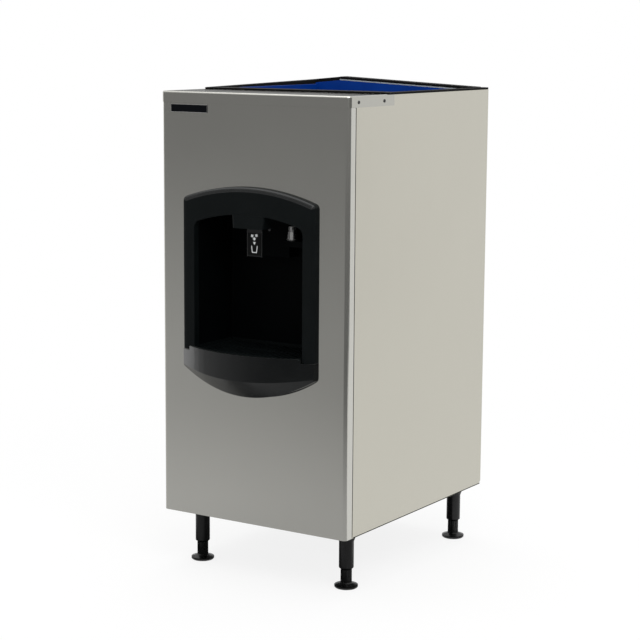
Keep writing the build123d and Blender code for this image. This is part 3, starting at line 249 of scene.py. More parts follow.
def spread(tree, value, low, high, fromLow=0.3, fromHigh=0.7):
    remap = tree.nodes.new("ShaderNodeMapRange")
    remap.inputs["From Min"].default_value = fromLow
    remap.inputs["From Max"].default_value = fromHigh
    remap.inputs["To Min"].default_value = low
    remap.inputs["To Max"].default_value = high
    tree.links.new(value, remap.inputs["Value"])
    return remap.outputs["Result"]


def twoColors(tree, value, first, second, fromLow=0.3, fromHigh=0.7):
    ramp = tree.nodes.new("ShaderNodeValToRGB")
    ramp.color_ramp.elements[0].position = fromLow
    ramp.color_ramp.elements[0].color = (*first, 1)
    ramp.color_ramp.elements[1].position = fromHigh
    ramp.color_ramp.elements[1].color = (*second, 1)
    tree.links.new(value, ramp.inputs["Fac"])
    return ramp.outputs["Color"]


def addBump(tree, shader, height, strength, distance):
    bump = tree.nodes.new("ShaderNodeBump")
    bump.inputs["Strength"].default_value = strength
    bump.inputs["Distance"].default_value = distance
    tree.links.new(height, bump.inputs["Height"])
    tree.links.new(bump.outputs["Normal"], shader.inputs["Normal"])


def twoWayMath(tree, operation, first, second):
    node = tree.nodes.new("ShaderNodeMath")
    node.operation = operation
    tree.links.new(first, node.inputs[0])
    tree.links.new(second, node.inputs[1])
    return node.outputs["Value"]


steelLook = {
    "color": (0.565, 0.560, 0.522),
    "shade": (0.545, 0.540, 0.502),
    "roughness": (0.17, 0.22),
    "grainScale": (1100.0, 1100.0, 7.0),
    "grainDepth": 0.00001,
    "grainStrength": 0.15,
    "cloudScale": 3.0,
}


def steelMaterial(name, tint=(1.0, 1.0, 1.0), roughness=steelLook["roughness"]):
    look = steelLook
    material, tree, shader = newMaterial(name)
    shader.inputs["Metallic"].default_value = 1.0
    grain = noise(tree, objectCoords(tree, look["grainScale"]), 1.0, detail=3)
    cloud = noise(tree, objectCoords(tree), look["cloudScale"], detail=5)
    first = tuple(channel * share for channel, share in zip(look["shade"], tint))
    second = tuple(channel * share for channel, share in zip(look["color"], tint))
    tree.links.new(twoColors(tree, grain, first, second), shader.inputs["Base Color"])
    tree.links.new(spread(tree, cloud, *roughness), shader.inputs["Roughness"])
    addBump(tree, shader, grain, look["grainStrength"], look["grainDepth"])
    return material


zincLook = {
    "metallic": 0.9,
    "color": (0.52, 0.54, 0.55),
    "shade": (0.36, 0.38, 0.39),
    "roughness": (0.34, 0.5),
    "spangleScale": 90.0,
    "spangleStretch": (1, 1, 0.6),
    "grainScale": 260.0,
    "grainStrength": 0.1,
    "grainDepth": 0.0001,
}


def zincMaterial(name):
    look = zincLook
    material, tree, shader = newMaterial(name)
    shader.inputs["Metallic"].default_value = look["metallic"]
    cells = tree.nodes.new("ShaderNodeTexVoronoi")
    cells.inputs["Scale"].default_value = look["spangleScale"]
    tree.links.new(objectCoords(tree, look["spangleStretch"]), cells.inputs["Vector"])
    spangle = cells.outputs["Color"]
    tree.links.new(twoColors(tree, spangle, look["shade"], look["color"], 0.2, 0.8), shader.inputs["Base Color"])
    tree.links.new(spread(tree, spangle, *look["roughness"], 0.0, 1.0), shader.inputs["Roughness"])
    grain = noise(tree, objectCoords(tree), look["grainScale"])
    addBump(tree, shader, grain, look["grainStrength"], look["grainDepth"])
    return material


mouldedLook = {
    "cloudScale": 14.0,
    "roughnessSwing": (-0.05, 0.06),
    "grainStrength": 0.25,
}


def mouldedMaterial(name, color, shade, roughness, specular, stipple=900.0, depth=0.00006):
    look = mouldedLook
    material, tree, shader = newMaterial(name)
    coords = objectCoords(tree)
    cloud = noise(tree, coords, look["cloudScale"], detail=6)
    grain = noise(tree, coords, stipple, detail=3)
    low, high = (roughness + swing for swing in look["roughnessSwing"])
    tree.links.new(twoColors(tree, cloud, shade, color), shader.inputs["Base Color"])
    tree.links.new(spread(tree, cloud, low, high), shader.inputs["Roughness"])
    shader.inputs["Specular IOR Level"].default_value = specular
    addBump(tree, shader, grain, look["grainStrength"], depth)
    return material


turnedLook = {
    "cloudScale": 60.0,
    "shade": 0.82,
    "roughnessSwing": (-0.05, 0.08),
    "grainScale": 1400.0,
    "grainStrength": 0.12,
    "grainDepth": 0.00003,
}


def turnedMaterial(name, color, roughness):
    look = turnedLook
    material, tree, shader = newMaterial(name)
    shader.inputs["Metallic"].default_value = 1.0
    coords = objectCoords(tree)
    cloud = noise(tree, coords, look["cloudScale"], detail=5)
    dark = tuple(channel * look["shade"] for channel in color)
    low, high = (roughness + swing for swing in look["roughnessSwing"])
    tree.links.new(twoColors(tree, cloud, dark, color), shader.inputs["Base Color"])
    tree.links.new(spread(tree, cloud, low, high), shader.inputs["Roughness"])
    grain = noise(tree, coords, look["grainScale"], detail=2)
    addBump(tree, shader, grain, look["grainStrength"], look["grainDepth"])
    return material


glassLook = {
    "color": (0.95, 0.93, 0.85),
    "clear": 0.9,
    "bend": 1.45,
    "roughness": (0.28, 0.42),
    "cloudScale": 180.0,
}


def glassMaterial(name):
    look = glassLook
    material, tree, shader = newMaterial(name)
    shader.inputs["Base Color"].default_value = (*look["color"], 1)
    shader.inputs["Transmission Weight"].default_value = look["clear"]
    shader.inputs["IOR"].default_value = look["bend"]
    cloud = noise(tree, objectCoords(tree), look["cloudScale"])
    tree.links.new(spread(tree, cloud, *look["roughness"]), shader.inputs["Roughness"])
    return material


foamLook = {
    "color": (0.80, 0.72, 0.48),
    "shade": (0.60, 0.50, 0.28),
    "roughness": (0.8, 0.95),
    "cellScale": 420.0,
    "cellStrength": 0.5,
    "cellDepth": 0.0008,
}


def foamMaterial(name):
    look = foamLook
    material, tree, shader = newMaterial(name)
    cells = noise(tree, objectCoords(tree), look["cellScale"], detail=5)
    tree.links.new(twoColors(tree, cells, look["shade"], look["color"]), shader.inputs["Base Color"])
    tree.links.new(spread(tree, cells, *look["roughness"]), shader.inputs["Roughness"])
    addBump(tree, shader, cells, look["cellStrength"], look["cellDepth"])
    return material


materials = {
    "side_steel": steelMaterial("satinSteelSide", (0.945, 0.925, 0.865)),
    "front_steel": steelMaterial("satinSteelFront"),
    "galvanised_steel": zincMaterial("zincSheet"),
    "bright_steel": turnedMaterial("brightSteel", (0.72, 0.72, 0.71), 0.24),
    "shell_metal": turnedMaterial("spunAluminium", (0.70, 0.70, 0.69), 0.30),
    "gear_casting": turnedMaterial("castAluminium", (0.42, 0.43, 0.43), 0.48),
    "dark_enamel": mouldedMaterial("darkEnamel", (0.030, 0.031, 0.034), (0.022, 0.023, 0.026), 0.34, 0.5),
    "black_plastic": mouldedMaterial("blackMoulding", (0.0026, 0.0040, 0.0042), (0.0018, 0.0030, 0.0032),
                                     0.50, 0.10),
    "gloss_black": mouldedMaterial("glossBlack", (0.0010, 0.0018, 0.0020), (0.0006, 0.0012, 0.0014), 0.20, 0.44,
                                   depth=0.00002),
    "leg_plastic": mouldedMaterial("legNylon", (0.0020, 0.0022, 0.0022), (0.0012, 0.0014, 0.0014), 0.26, 0.34),
    "blue_liner": mouldedMaterial("blueLiner", (0.0, 0.036, 0.245), (0.0, 0.028, 0.205), 0.42, 0.12,
                                  stipple=260.0, depth=0.0002),
    "rim_trim": mouldedMaterial("rimTrim", (0.34, 0.37, 0.40), (0.28, 0.31, 0.34), 0.35, 0.5),
    "seal_rubber": mouldedMaterial("sealRubber", (0.003, 0.003, 0.003), (0.002, 0.002, 0.002), 0.70, 0.10,
                                   stipple=700.0, depth=0.0002),
    "white_plastic": mouldedMaterial("whiteMoulding", (0.66, 0.68, 0.68), (0.58, 0.60, 0.60), 0.42, 0.45),
    "grey_plastic": mouldedMaterial("greyPipe", (0.15, 0.155, 0.16), (0.12, 0.125, 0.13), 0.38, 0.45),
    "foam": foamMaterial("foam"),
    # the seam's black, and painted shadow under each side's hem
    "seam_and_hem_shadow_black": mouldedMaterial("seamAndHemShadowBlack", (0.0015, 0.0015, 0.0015), (0.0010, 0.0010, 0.0010), 0.80, 0.03),
    # painted shade: a darker, duller black for the parts inside the recess
    "recess_shade_black": mouldedMaterial("recessShadeBlack", (0.0008, 0.0013, 0.0015), (0.0005, 0.0009, 0.0011), 0.55, 0.04),
    # painted highlight: a lighter, shinier black for bevelled bands and edges
    "painted_edge_highlight": mouldedMaterial("paintedEdgeHighlight", (0.0045, 0.0055, 0.0055), (0.0035, 0.0045, 0.0045), 0.16, 1.0,
                                  depth=0.00001),
    # painted highlight: lighter, shinier copies of the gloss black for the basin's left end
    "basin_turn_highlight": mouldedMaterial("basinTurnHighlight", (0.0010, 0.0018, 0.0020), (0.0006, 0.0012, 0.0014), 0.20, 0.56,
                                  depth=0.00002),
    "basin_end_highlight": mouldedMaterial("basinEndHighlight", (0.0012, 0.0020, 0.0022), (0.0008, 0.0014, 0.0016), 0.20, 0.76,
                                 depth=0.00002),
    "badge_black": mouldedMaterial("badgeBlack", (0.0015, 0.0022, 0.0035), (0.0010, 0.0016, 0.0026), 0.30, 0.10,
                                   depth=0.00002),
    "blacked_steel": turnedMaterial("blackedSteel", (0.10, 0.10, 0.10), 0.42),
    # painted shade: the cover's steel, darkened
    "cover_shaded_steel": steelMaterial("satinSteelCoverShaded", (0.80, 0.80, 0.785), (0.11, 0.15)),
    "label_face": mouldedMaterial("labelFace", (0.0014, 0.0016, 0.0016), (0.0010, 0.0012, 0.0012), 0.35, 0.15),
    "lamp_glass": glassMaterial("frostedGlass"),
}
for entry in frame["record"]["subparts"]:
    paint(nodes[entry["node"]], materials[entry["material_slot"]])

# sheet and moulded pieces that keep the frame's shape, with real edges


def copyOfNode(name):
    # a merged copy with flat areas joined again; the node itself stays as it is
    clearSelection()
    piece = bpy.data.objects.new(name + "Edged", nodes[name].data.copy())
    bpy.context.scene.collection.objects.link(piece)
    editAll(piece)
    bpy.ops.mesh.remove_doubles(threshold=mergeLook["nodeCorner"])
    bpy.ops.mesh.dissolve_limited(angle_limit=math.radians(mergeLook["flatAngle"]))
    leaveEdit()
    return piece


# body, slot and edge width in metres
edgedNodes = {
    "cabinet": {
        "front_panel": 0.0005, "side_panel_right": 0.0004, "side_panel_left": 0.0004, "top_cover": 0.0005,
        "back_panel": 0.0004, "base_pan": 0.0005, "bin_liner": 0.0010, "bezel": 0.0008, "chute_hood": 0.0009,
        "recess_liner": 0.0012, "basin_front": 0.0009, "drip_basin": 0.0008, "ice_chute": 0.0006,
        "lamp_shelf": 0.0007, "lever_bracket": 0.0004, "rear_rim_rail": 0.0008, "rim_gasket": 0.0012,
        "leg_bodies": 0.0008, "bin_supports": 0.0004, "bulkhead": 0.0004, "control_box": 0.0004,
        "control_lid": 0.0004, "gearbox": 0.0010, "motor_can": 0.0006, "solenoid_body": 0.0006,
        "switch_body": 0.0005, "shaft_bearing": 0.0006, "bin_drain": 0.0006, "drain_pipe": 0.0005,
        "transformer": 0.0006,
    },
    "grille": {"drip_grille": 0.0005},
    "lever": {"push_lever": 0.0007},
    "gate": {"gate_flap": 0.0004},
    "wheel": {"paddle_wheel": 0.0012, "shaft_collar": 0.0006, "agitator": 0.0005},
}
slotOfNode = {entry["node"]: entry["material_slot"] for entry in frame["record"]["subparts"]}
# painted shade: the parts in the recess take a darker, duller copy of the black moulding
ownMaterial = {"recess_liner": "recess_shade_black", "ice_chute": "recess_shade_black", "lamp_shelf": "recess_shade_black"}
# left out of what the brushed panel mirrors
notMirrored = ("bezel", "basin_front", "chute_hood", "drip_basin")
# painted highlight and shade on a piece: material, and which faces take it by their normal; the last that fits
# stays
paintedLightFaces = {
    # painted highlight: a lighter, shinier copy of the black on the bevelled band over the arch
    "bezel": [("painted_edge_highlight", lambda normal: -0.975 < normal.y < -0.93 and normal.z > 0.1)],
    # painted shade: a darker copy of the steel on all but the cover's front
    "top_cover": [("cover_shaded_steel", lambda normal: normal.y > -0.7)],
    # painted highlight: lighter, shinier copies of the gloss black towards the basin's left end, and on its upper
    # edge
    "basin_front": [
        ("basin_turn_highlight", lambda normal: normal.x < -0.29),
        ("basin_end_highlight", lambda normal: normal.x < -0.33),
        ("painted_edge_highlight", lambda normal: normal.z > 0.35 or normal.x < -0.37),
    ],
}


def addPaintedLight(piece, material, wanted):
    slot = len(piece.data.materials)
    piece.data.materials.append(materials[material])
    for face in piece.data.polygons:
        if wanted(face.normal):
            face.material_index = slot


def makeEdged():
    for body, widths in edgedNodes.items():
        for name, width in widths.items():
            piece = copyOfNode(name)
            roundEdges(piece, width)
            slot = slotOfNode[name]
            place(piece, body, slot, materials[ownMaterial.get(name, slot)], name)
            piece.visible_glossy = name not in notMirrored
            for material, wanted in paintedLightFaces.get(name, ()):
                addPaintedLight(piece, material, wanted)


makeEdged()
print("edged pieces ready")


def islandBoxes(name):
    # the box of each separate solid of a node
    clearSelection()
    probe = bpy.data.objects.new("probe", nodes[name].data.copy())
    bpy.context.scene.collection.objects.link(probe)
    outwards(probe)
    bpy.ops.object.mode_set(mode="EDIT")
    bpy.ops.mesh.separate(type="LOOSE")
    leaveEdit()
    boxes = []
    for part in list(bpy.context.selected_objects):
        points = [vertex.co for vertex in part.data.vertices]
        low = Vector([min(point[i] for point in points) for i in range(3)])
        high = Vector([max(point[i] for point in points) for i in range(3)])
        boxes.append((low, high))
        bpy.data.objects.remove(part, do_unlink=True)
    return boxes


screwLook = {
    "headRadius": 0.0042,
    "headHeight": 0.0011,
    "dome": 0.0005,
    "ringInset": 0.3,  # share of the head's radius
    "firstRise": 0.7,  # share of the dome
    "shankRadius": 0.0019,
    "shankSides": 16,
    "tipInset": 0.6,  # share of the shank's radius
    "slotLength": 0.0048,
    "slotWidth": 0.0011,
    "slotDepth": 0.0010,
    "cutAbove": 0.001,
    "edge": 0.0002,
    "edgeAngle": 40,
}


def makeScrew(length):
    # the head's seat lies at the origin, the head points to +Z
    look = screwLook
    head = addDisc((0, 0, look["headHeight"] / 2), look["headRadius"], look["headHeight"])
    pickFaces(head, lambda face: face.normal.z > 0.9)
    for rise in (look["firstRise"], 1 - look["firstRise"]):
        bpy.ops.mesh.inset(thickness=look["headRadius"] * look["ringInset"])
        bpy.ops.transform.translate(value=(0, 0, look["dome"] * rise))
    leaveEdit()
    top = look["headHeight"] + look["dome"]
    for across, along in ((look["slotLength"], look["slotWidth"]), (look["slotWidth"], look["slotLength"])):
        bar = addBlock((-across / 2, -along / 2, top - look["slotDepth"]),
                       (across / 2, along / 2, top + look["cutAbove"]))
        cutAway(head, bar)
    shank = addDisc((0, 0, -length / 2), look["shankRadius"], length, sides=look["shankSides"])
    pickFaces(shank, lambda face: face.normal.z < -0.9)
    bpy.ops.mesh.inset(thickness=look["shankRadius"] * look["tipInset"])
    bpy.ops.transform.translate(value=(0, 0, -look["shankRadius"]))
    leaveEdit()
    screw = joinPieces([head, shank], "screw")
    return roundEdges(screw, look["edge"], segments=1, angle=look["edgeAngle"])


def makeScrews(node, name):
    headTop = screwLook["headHeight"] + screwLook["dome"]
    placed = []
    for low, high in islandBoxes(node):
        size = high - low
        axis = max(range(3), key=lambda i: abs(size[i] - sorted(size)[1]))  # the odd one out is the length
        middle = (low + high) / 2
        outside = Vector((0, 0, 0))
        sign = 1 if middle[axis] > 0 else -1
        outside[axis] = sign
        seat = middle.copy()
        seat[axis] = (high if sign > 0 else low)[axis] - sign * headTop
        screw = makeScrew(size[axis] - headTop - screwLook["shankRadius"])
        turn = outside.to_track_quat("Z", "Y").to_matrix().to_4x4()
        placed.append(copyPiece(screw, Matrix.Translation(seat) @ turn))
        bpy.data.objects.remove(screw, do_unlink=True)
    screws = joinPieces(placed, name)
    return place(screws, "cabinet", "bright_steel", materials["blacked_steel"], node)


makeScrews("panel_screws", "panelScrews")
makeScrews("chute_screw", "chuteScrew")
print("screws ready")


badgeLook = {
    "frame": 0.0006,
    "sink": 0.0004,
    "edge": 0.0003,
}


def makeBadge():
    look = badgeLook
    low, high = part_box("badge_plate")
    plate = addBlock(low, high)
    pickFaces(plate, lambda face: face.normal.y < -0.9)
    bpy.ops.mesh.inset(thickness=look["frame"])
    bpy.ops.mesh.extrude_region_move(TRANSFORM_OT_translate={"value": (0, look["sink"], 0)})
    leaveEdit()
    roundEdges(plate, look["edge"])
    place(plate, "cabinet", "gloss_black", materials["badge_black"], "badge_plate")
    plate.name = "badgeBlank"
    plate.data.materials.append(materials["shell_metal"])
    depth = low[1] + look["sink"] * 0.5
    for face in plate.data.polygons:
        if face.center.y < depth:
            face.material_index = 1
    return plate


makeBadge()


# lever label: a plain sign of ice falling into a cup
labelLook = {
    "edge": 0.0006,
    "frame": 0.0006,
    "signRise": 0.00025,
    "cube": 0.0064,
    "cubes": ((-0.0068, 0.0205, 12), (0.0060, 0.0220, -18), (-0.0005, 0.0135, 40)),
    "arrowHeight": 0.0048,
    "arrowMiddle": 0.0030,
    "cupTop": -0.0040,
    "cupHeight": 0.0165,
    "cupWidth": 0.0170,
    "cupLean": 8,  # degrees
    "wallSpread": 0.88,  # shares of the cup's width
    "baseSpread": 0.80,
    "line": 0.0019,
}


def signBlock(x, z, width, height, front, turn=0.0):
    look = labelLook
    block = addBlock((-width / 2, 0, -height / 2), (width / 2, look["signRise"], height / 2))
    placed = copyPiece(block, Matrix.Translation((x, front - look["signRise"], z)) @ Matrix.Rotation(
        math.radians(turn), 4, "Y"))
    bpy.data.objects.remove(block, do_unlink=True)
    return placed


def makeLabel():
    look = labelLook
    low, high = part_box("lever_label")
    plate = addBlock(low, high)
    pickFaces(plate, lambda face: face.normal.y < -0.9)
    bpy.ops.mesh.inset(thickness=look["frame"])
    bpy.ops.mesh.extrude_region_move(TRANSFORM_OT_translate={"value": (0, look["signRise"], 0)})
    leaveEdit()
    roundEdges(plate, look["edge"] / 3)
    place(plate, "lever", "label_face", materials["label_face"], "lever_label")
    plate.name = "leverLabel"
    middleX = (low[0] + high[0]) / 2
    middleZ = (low[2] + high[2]) / 2
    front = low[1] + look["signRise"]
    marks = []
    for x, z, turn in look["cubes"]:
        marks.append(signBlock(middleX + x, middleZ + z, look["cube"], look["cube"], front, turn))
    arrow = addDisc((middleX, front - look["signRise"] / 2, middleZ + look["arrowMiddle"]),
                    look["arrowHeight"], look["signRise"], sides=3, turn=(math.radians(90), 0, 0))
    tip = middleZ + look["arrowMiddle"]
    heights = [vertex.co.z for vertex in arrow.data.vertices]
    if max(heights) - tip > tip - min(heights):
        # the tip must point down, into the cup
        arrow.matrix_world = Matrix.Translation((0, 0, 2 * tip)) @ Matrix.Scale(-1, 4, (0, 0, 1))
        settle(arrow)
    marks.append(outwards(arrow))
    cupMiddle = middleZ + look["cupTop"] - look["cupHeight"] / 2
    for side in (-1, 1):
        marks.append(signBlock(middleX + side * look["cupWidth"] / 2 * look["wallSpread"], cupMiddle,
                               look["line"], look["cupHeight"], front, side * look["cupLean"]))
    marks.append(signBlock(middleX, cupMiddle - look["cupHeight"] / 2, look["cupWidth"] * look["baseSpread"],
                           look["line"], front))
    sign = joinPieces(marks, "leverSign")
    return place(sign, "lever", "white_plastic", materials["white_plastic"])


makeLabel()


# thin bright strips along the lever's upright edges
leverTrim = {
    "width": 0.0008,
    "rise": 0.0004,
    "inset": 0.0006,
    "overhang": 0.004,  # past the label, up and down
    "edge": 0.2,  # share of the width
}


def makeLeverTrim():
    look = leverTrim
    low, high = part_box("push_lever")
    labelLow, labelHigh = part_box("lever_label")
    strips = []
    for side in (low[0] + look["inset"], high[0] - look["inset"] - look["width"]):
        strip = addBlock((side, labelHigh[1] - look["rise"], labelLow[2] - look["overhang"]),
                         (side + look["width"], labelHigh[1] + look["rise"], labelHigh[2] + look["overhang"]))
        pickFaces(strip, lambda face: abs(face.normal.z) > 0.9)
        bpy.ops.mesh.inset(thickness=look["width"] * look["edge"])
        leaveEdit()
        strips.append(strip)
    trim = joinPieces(strips, "leverTrim")
    roundEdges(trim, look["width"] * look["edge"], segments=1)
    return place(trim, "lever", "bright_steel", materials["blacked_steel"])


makeLeverTrim()


lampLook = {
    "profile": ((0.0165, 0.0), (0.0165, 0.0016), (0.0140, 0.0022), (0.0127, 0.0140), (0.0118, 0.0225),
                (0.0105, 0.0240), (0.0105, 0.0265), (0.0100, 0.0345)),
    "sides": 48,
    "teeth": 8,
    "toothFrom": 0.0262,
    "toothShare": 0.6,
    "wall": 0.0010,
    "edge": 0.00025,
}


def makeLamp():
    # a spun shell with a toothed crown
    look = lampLook
    low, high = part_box("lamp_shell")
    middle = ((low[0] + high[0]) / 2, (low[1] + high[1]) / 2, low[2])
    grow = (high[2] - low[2]) / look["profile"][-1][1]
    shell = ringTube([(radius, height * grow) for radius, height in look["profile"]], middle, look["sides"])
    perTooth = 360.0 / look["teeth"]

    def inNotch(face):
        angle = math.degrees(math.atan2(face.center.y - middle[1], face.center.x - middle[0])) % perTooth
        return face.center.z - middle[2] > look["toothFrom"] * grow and angle > perTooth * look["toothShare"]

    pickFaces(shell, inNotch)
    bpy.ops.mesh.delete(type="FACE")
    leaveEdit()
    outwards(shell)
    addWall(shell, look["wall"])
    roundEdges(shell, look["edge"], segments=1)
    place(shell, "cabinet", "shell_metal", materials["shell_metal"], "lamp_shell")
    shell.name = "lampShell"
    return shell


makeLamp()


# black strip that closes the seam between the front panel and each side, and a dark strip under each side that
# paints the hem's shadow
seamLook = {
    "depth": 0.0030,
    "sink": 0.0010,
    "lap": 0.0006,
    "groove": 0.0004,
    "edge": 0.0002,
    "lowInset": 0.0020,
    "highInset": 0.0060,
    "hemShadowLift": 0.0002,
    "hemShadowHeight": 0.0024,
    "hemShadowProud": 0.0003,
    "hemShadowInset": 0.0040,
}


def makeSeamAndHemShadowStrips():
    look = seamLook
    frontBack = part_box("front_panel")[1][1]
    sideLow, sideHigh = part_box("side_panel_right")
    strips = []
    for side in (-1, 1):
        outer = side * (sideHigh[0] - look["sink"])
        inner = side * (sideHigh[0] - look["sink"] - look["depth"])
        strip = addBlock((min(outer, inner), frontBack - look["lap"], sideLow[2] + look["lowInset"]),
                         (max(outer, inner), sideLow[1] + look["lap"], sideHigh[2] - look["highInset"]))
        pickFaces(strip, lambda face: face.normal.x * side > 0.9)
        bpy.ops.mesh.inset(thickness=look["lap"])
        bpy.ops.transform.translate(value=(-side * look["groove"], 0, 0))
        leaveEdit()
        strips.append(strip)
        # painted shadow: a dark strip along the bottom of the side, where the hem is in shade
        face = side * (sideHigh[0] + look["hemShadowProud"])
        root = side * (sideHigh[0] - look["hemShadowProud"])
        strips.append(addBlock((min(face, root), sideLow[1] + look["hemShadowInset"], sideLow[2] + look["hemShadowLift"]),
                               (max(face, root), sideHigh[1] - look["hemShadowInset"], sideLow[2] + look["hemShadowHeight"])))
    strip = joinPieces(strips, "seamAndHemShadowStrips")
    roundEdges(strip, look["edge"], segments=1)
    return place(strip, "cabinet", "seal_rubber", materials["seam_and_hem_shadow_black"])


makeSeamAndHemShadowStrips()


glandLook = {
    "nut": ((0.0125, 0.0030), (0.0132, 0.0038), (0.0132, 0.0110), (0.0118, 0.0128)),
    "nose": ((0.0104, 0.0126), (0.0100, 0.0150), (0.0086, 0.0160), (0.0056, 0.0160), (0.0052, 0.0110)),
    "noseSides": 36,
    "ribs": 18,
    "ribFrom": 0.0045,
    "ribTo": 0.0105,
    "ribInset": 0.0001,
    "ribRise": 0.0006,
    "wall": 0.0009,
    "edge": 0.0004,
}


def makeGland():
    # the node's flange with a ribbed nut and the rubber nose that grips the lead
    look = glandLook
    low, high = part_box("inlet_gland")
    body = copyOfNode("inlet_gland")
    roundEdges(body, look["edge"])
    nut = ringTube(look["nut"], (0, 0, 0), look["ribs"] * 2)

    def onRib(face):
        angle = math.degrees(math.atan2(face.center.y, face.center.x)) % 360
        return look["ribFrom"] < face.center.z < look["ribTo"] and int(angle / (180 / look["ribs"])) % 2 == 0

    pickFaces(nut, onRib)
    bpy.ops.mesh.inset(thickness=look["ribInset"], use_individual=True)
    bpy.ops.transform.shrink_fatten(value=look["ribRise"])
    leaveEdit()
    nose = ringTube(look["nose"], (0, 0, 0), look["noseSides"])
    turned = joinPieces([nut, nose], "turned")
    # the nose ends where the node does
    root = Vector(((low[0] + high[0]) / 2, high[1] - look["nose"][-2][1], (low[2] + high[2]) / 2))
    turned.matrix_world = Matrix.Translation(root) @ Matrix.Rotation(math.radians(-90), 4, "X")
    settle(turned)
    outwards(turned)
    addWall(turned, look["wall"])
    gland = joinPieces([body, turned], "inletGland")
    pickOnly(gland)
    bpy.ops.object.shade_smooth_by_angle(angle=math.radians(30))
    return place(gland, "cabinet", "black_plastic", materials["black_plastic"], "inlet_gland")


makeGland()
print("small pieces ready")


# studio

studio = {
    "azimuth": 32.81,
    "elevation": 9.16,
    "roll": 0.39,
    "distance": 4.559,
    "aim": (0.14195, -0.23498, 0.6757),
    "lens": 102.94,
    "sensor": 36.0,
    "farthest": 100.0,
    "fillLight": 0.75,
}


def stageCamera():
    look = studio
    azimuth, elevation, roll = (math.radians(look[key]) for key in ("azimuth", "elevation", "roll"))
    back = Vector((math.sin(azimuth) * math.cos(elevation), -math.cos(azimuth) * math.cos(elevation),
                   math.sin(elevation)))
    right = Vector((math.cos(azimuth), math.sin(azimuth), 0))
    above = back.cross(right)
    across = right * math.cos(roll) + above * math.sin(roll)
    upward = back.cross(across)
    turn = Matrix((across, upward, back)).transposed().to_4x4()
    data = bpy.data.cameras.new("photoCamera")
    data.lens = look["lens"]
    data.sensor_width = look["sensor"]
    data.clip_end = look["farthest"]
    camera = bpy.data.objects.new("photoCamera", data)
    bpy.context.scene.collection.objects.link(camera)
    camera.matrix_world = Matrix.Translation(Vector(look["aim"]) + back * look["distance"]) @ turn
    bpy.context.scene.camera = camera


def seenOrMirrored(tree):
    path = tree.nodes.new("ShaderNodeLightPath")
    total = path.outputs["Is Camera Ray"]
    for name in ("Is Glossy Ray", "Is Transmission Ray"):
        total = twoWayMath(tree, "MAXIMUM", total, path.outputs[name])
    return total


def background(node, strength):
    node.inputs["Color"].default_value = (1, 1, 1, 1)
    node.inputs["Strength"].default_value = strength
    return node.outputs["Background"]


def mixShaders(tree, share, first, second, output):
    mix = tree.nodes.new("ShaderNodeMixShader")
    tree.links.new(share, mix.inputs["Fac"])
    tree.links.new(first, mix.inputs[1])
    tree.links.new(second, mix.inputs[2])
    tree.links.new(mix.outputs["Shader"], tree.nodes[output].inputs["Surface"])


def fromMiddle(tree, coords):
    # how far a point lies from the part's middle
    length = tree.nodes.new("ShaderNodeVectorMath")
    length.operation = "LENGTH"
    tree.links.new(coords, length.inputs[0])
    return length.outputs["Value"]


def stageWorld():
    world = bpy.data.worlds.new("studio")
    bpy.context.scene.world = world
    world.use_nodes = True
    tree = world.node_tree
    white = background(tree.nodes["Background"], 1.0)
    dim = background(tree.nodes.new("ShaderNodeBackground"), studio["fillLight"])
    mixShaders(tree, seenOrMirrored(tree), dim, white, "World Output")


floorLook = {
    "size": 60.0,
    "color": (0.85, 0.85, 0.85),
    "roughness": 0.9,
    "glowNear": 0.84,
    "fadeFrom": 0.55,  # metres from the middle of the part
    "fadeTo": 2.2,
}


def stageFloor():
    look = floorLook
    clearSelection()
    bpy.ops.mesh.primitive_plane_add(size=look["size"], location=(0, 0, 0))
    floor = bpy.context.view_layer.objects.active
    floor.name = "floor"
    material, tree, shader = newMaterial("paleFloor")
    shader.inputs["Base Color"].default_value = (*look["color"], 1)
    shader.inputs["Roughness"].default_value = look["roughness"]
    glow = tree.nodes.new("ShaderNodeEmission")
    glow.inputs["Strength"].default_value = 1.0
    share = spread(tree, fromMiddle(tree, objectCoords(tree)), look["glowNear"], 1.0, look["fadeFrom"],
                   look["fadeTo"])
    mixShaders(tree, twoWayMath(tree, "MULTIPLY", seenOrMirrored(tree), share), shader.outputs["BSDF"],
               glow.outputs["Emission"], "Material Output")
    paint(floor, material)


# dark boards that only shiny surfaces mirror, as beside a product table
boards = {
    "radius": 3.4,
    "height": 1.9,
    "steps": 144,
    "fromAzimuth": -76.0,  # from the front towards the right
    "toAzimuth": 132.0,
    "groundToAzimuth": 88.0,  # the side panel mirrors bright ground
    "leftX": -2.7,  # the low edge is lighter at the left than in the middle
    "leftShade": 0.61,
    "middleX": -0.2,
    "middleShade": 0.155,
    "highShade": 0.245,
    "fadeHeight": 0.95,
    "nearRadius": 1.1,  # the ground is lighter close to the object
    "nearShade": 0.38,
    "farRadius": 2.87,
    "mirrorHeight": 0.004,
    "underMiddle": (-0.09, 0.005, 0.006),  # the shaded ground below the cabinet
    "underSize": (0.74, 0.75),
    "underShade": 0.05,
    "rearMiddle": (-1.75, 2.7, 1.45),
    "rearSize": (3.4, 0.75),
    "rearAzimuth": 213.0,
    "rearShade": 0.26,
}


def plainBoard(name, shade):
    material, tree, shader = newMaterial(name)
    glow = tree.nodes.new("ShaderNodeEmission")
    glow.inputs["Strength"].default_value = shade
    tree.links.new(glow.outputs["Emission"], tree.nodes["Material Output"].inputs["Surface"])
    return material


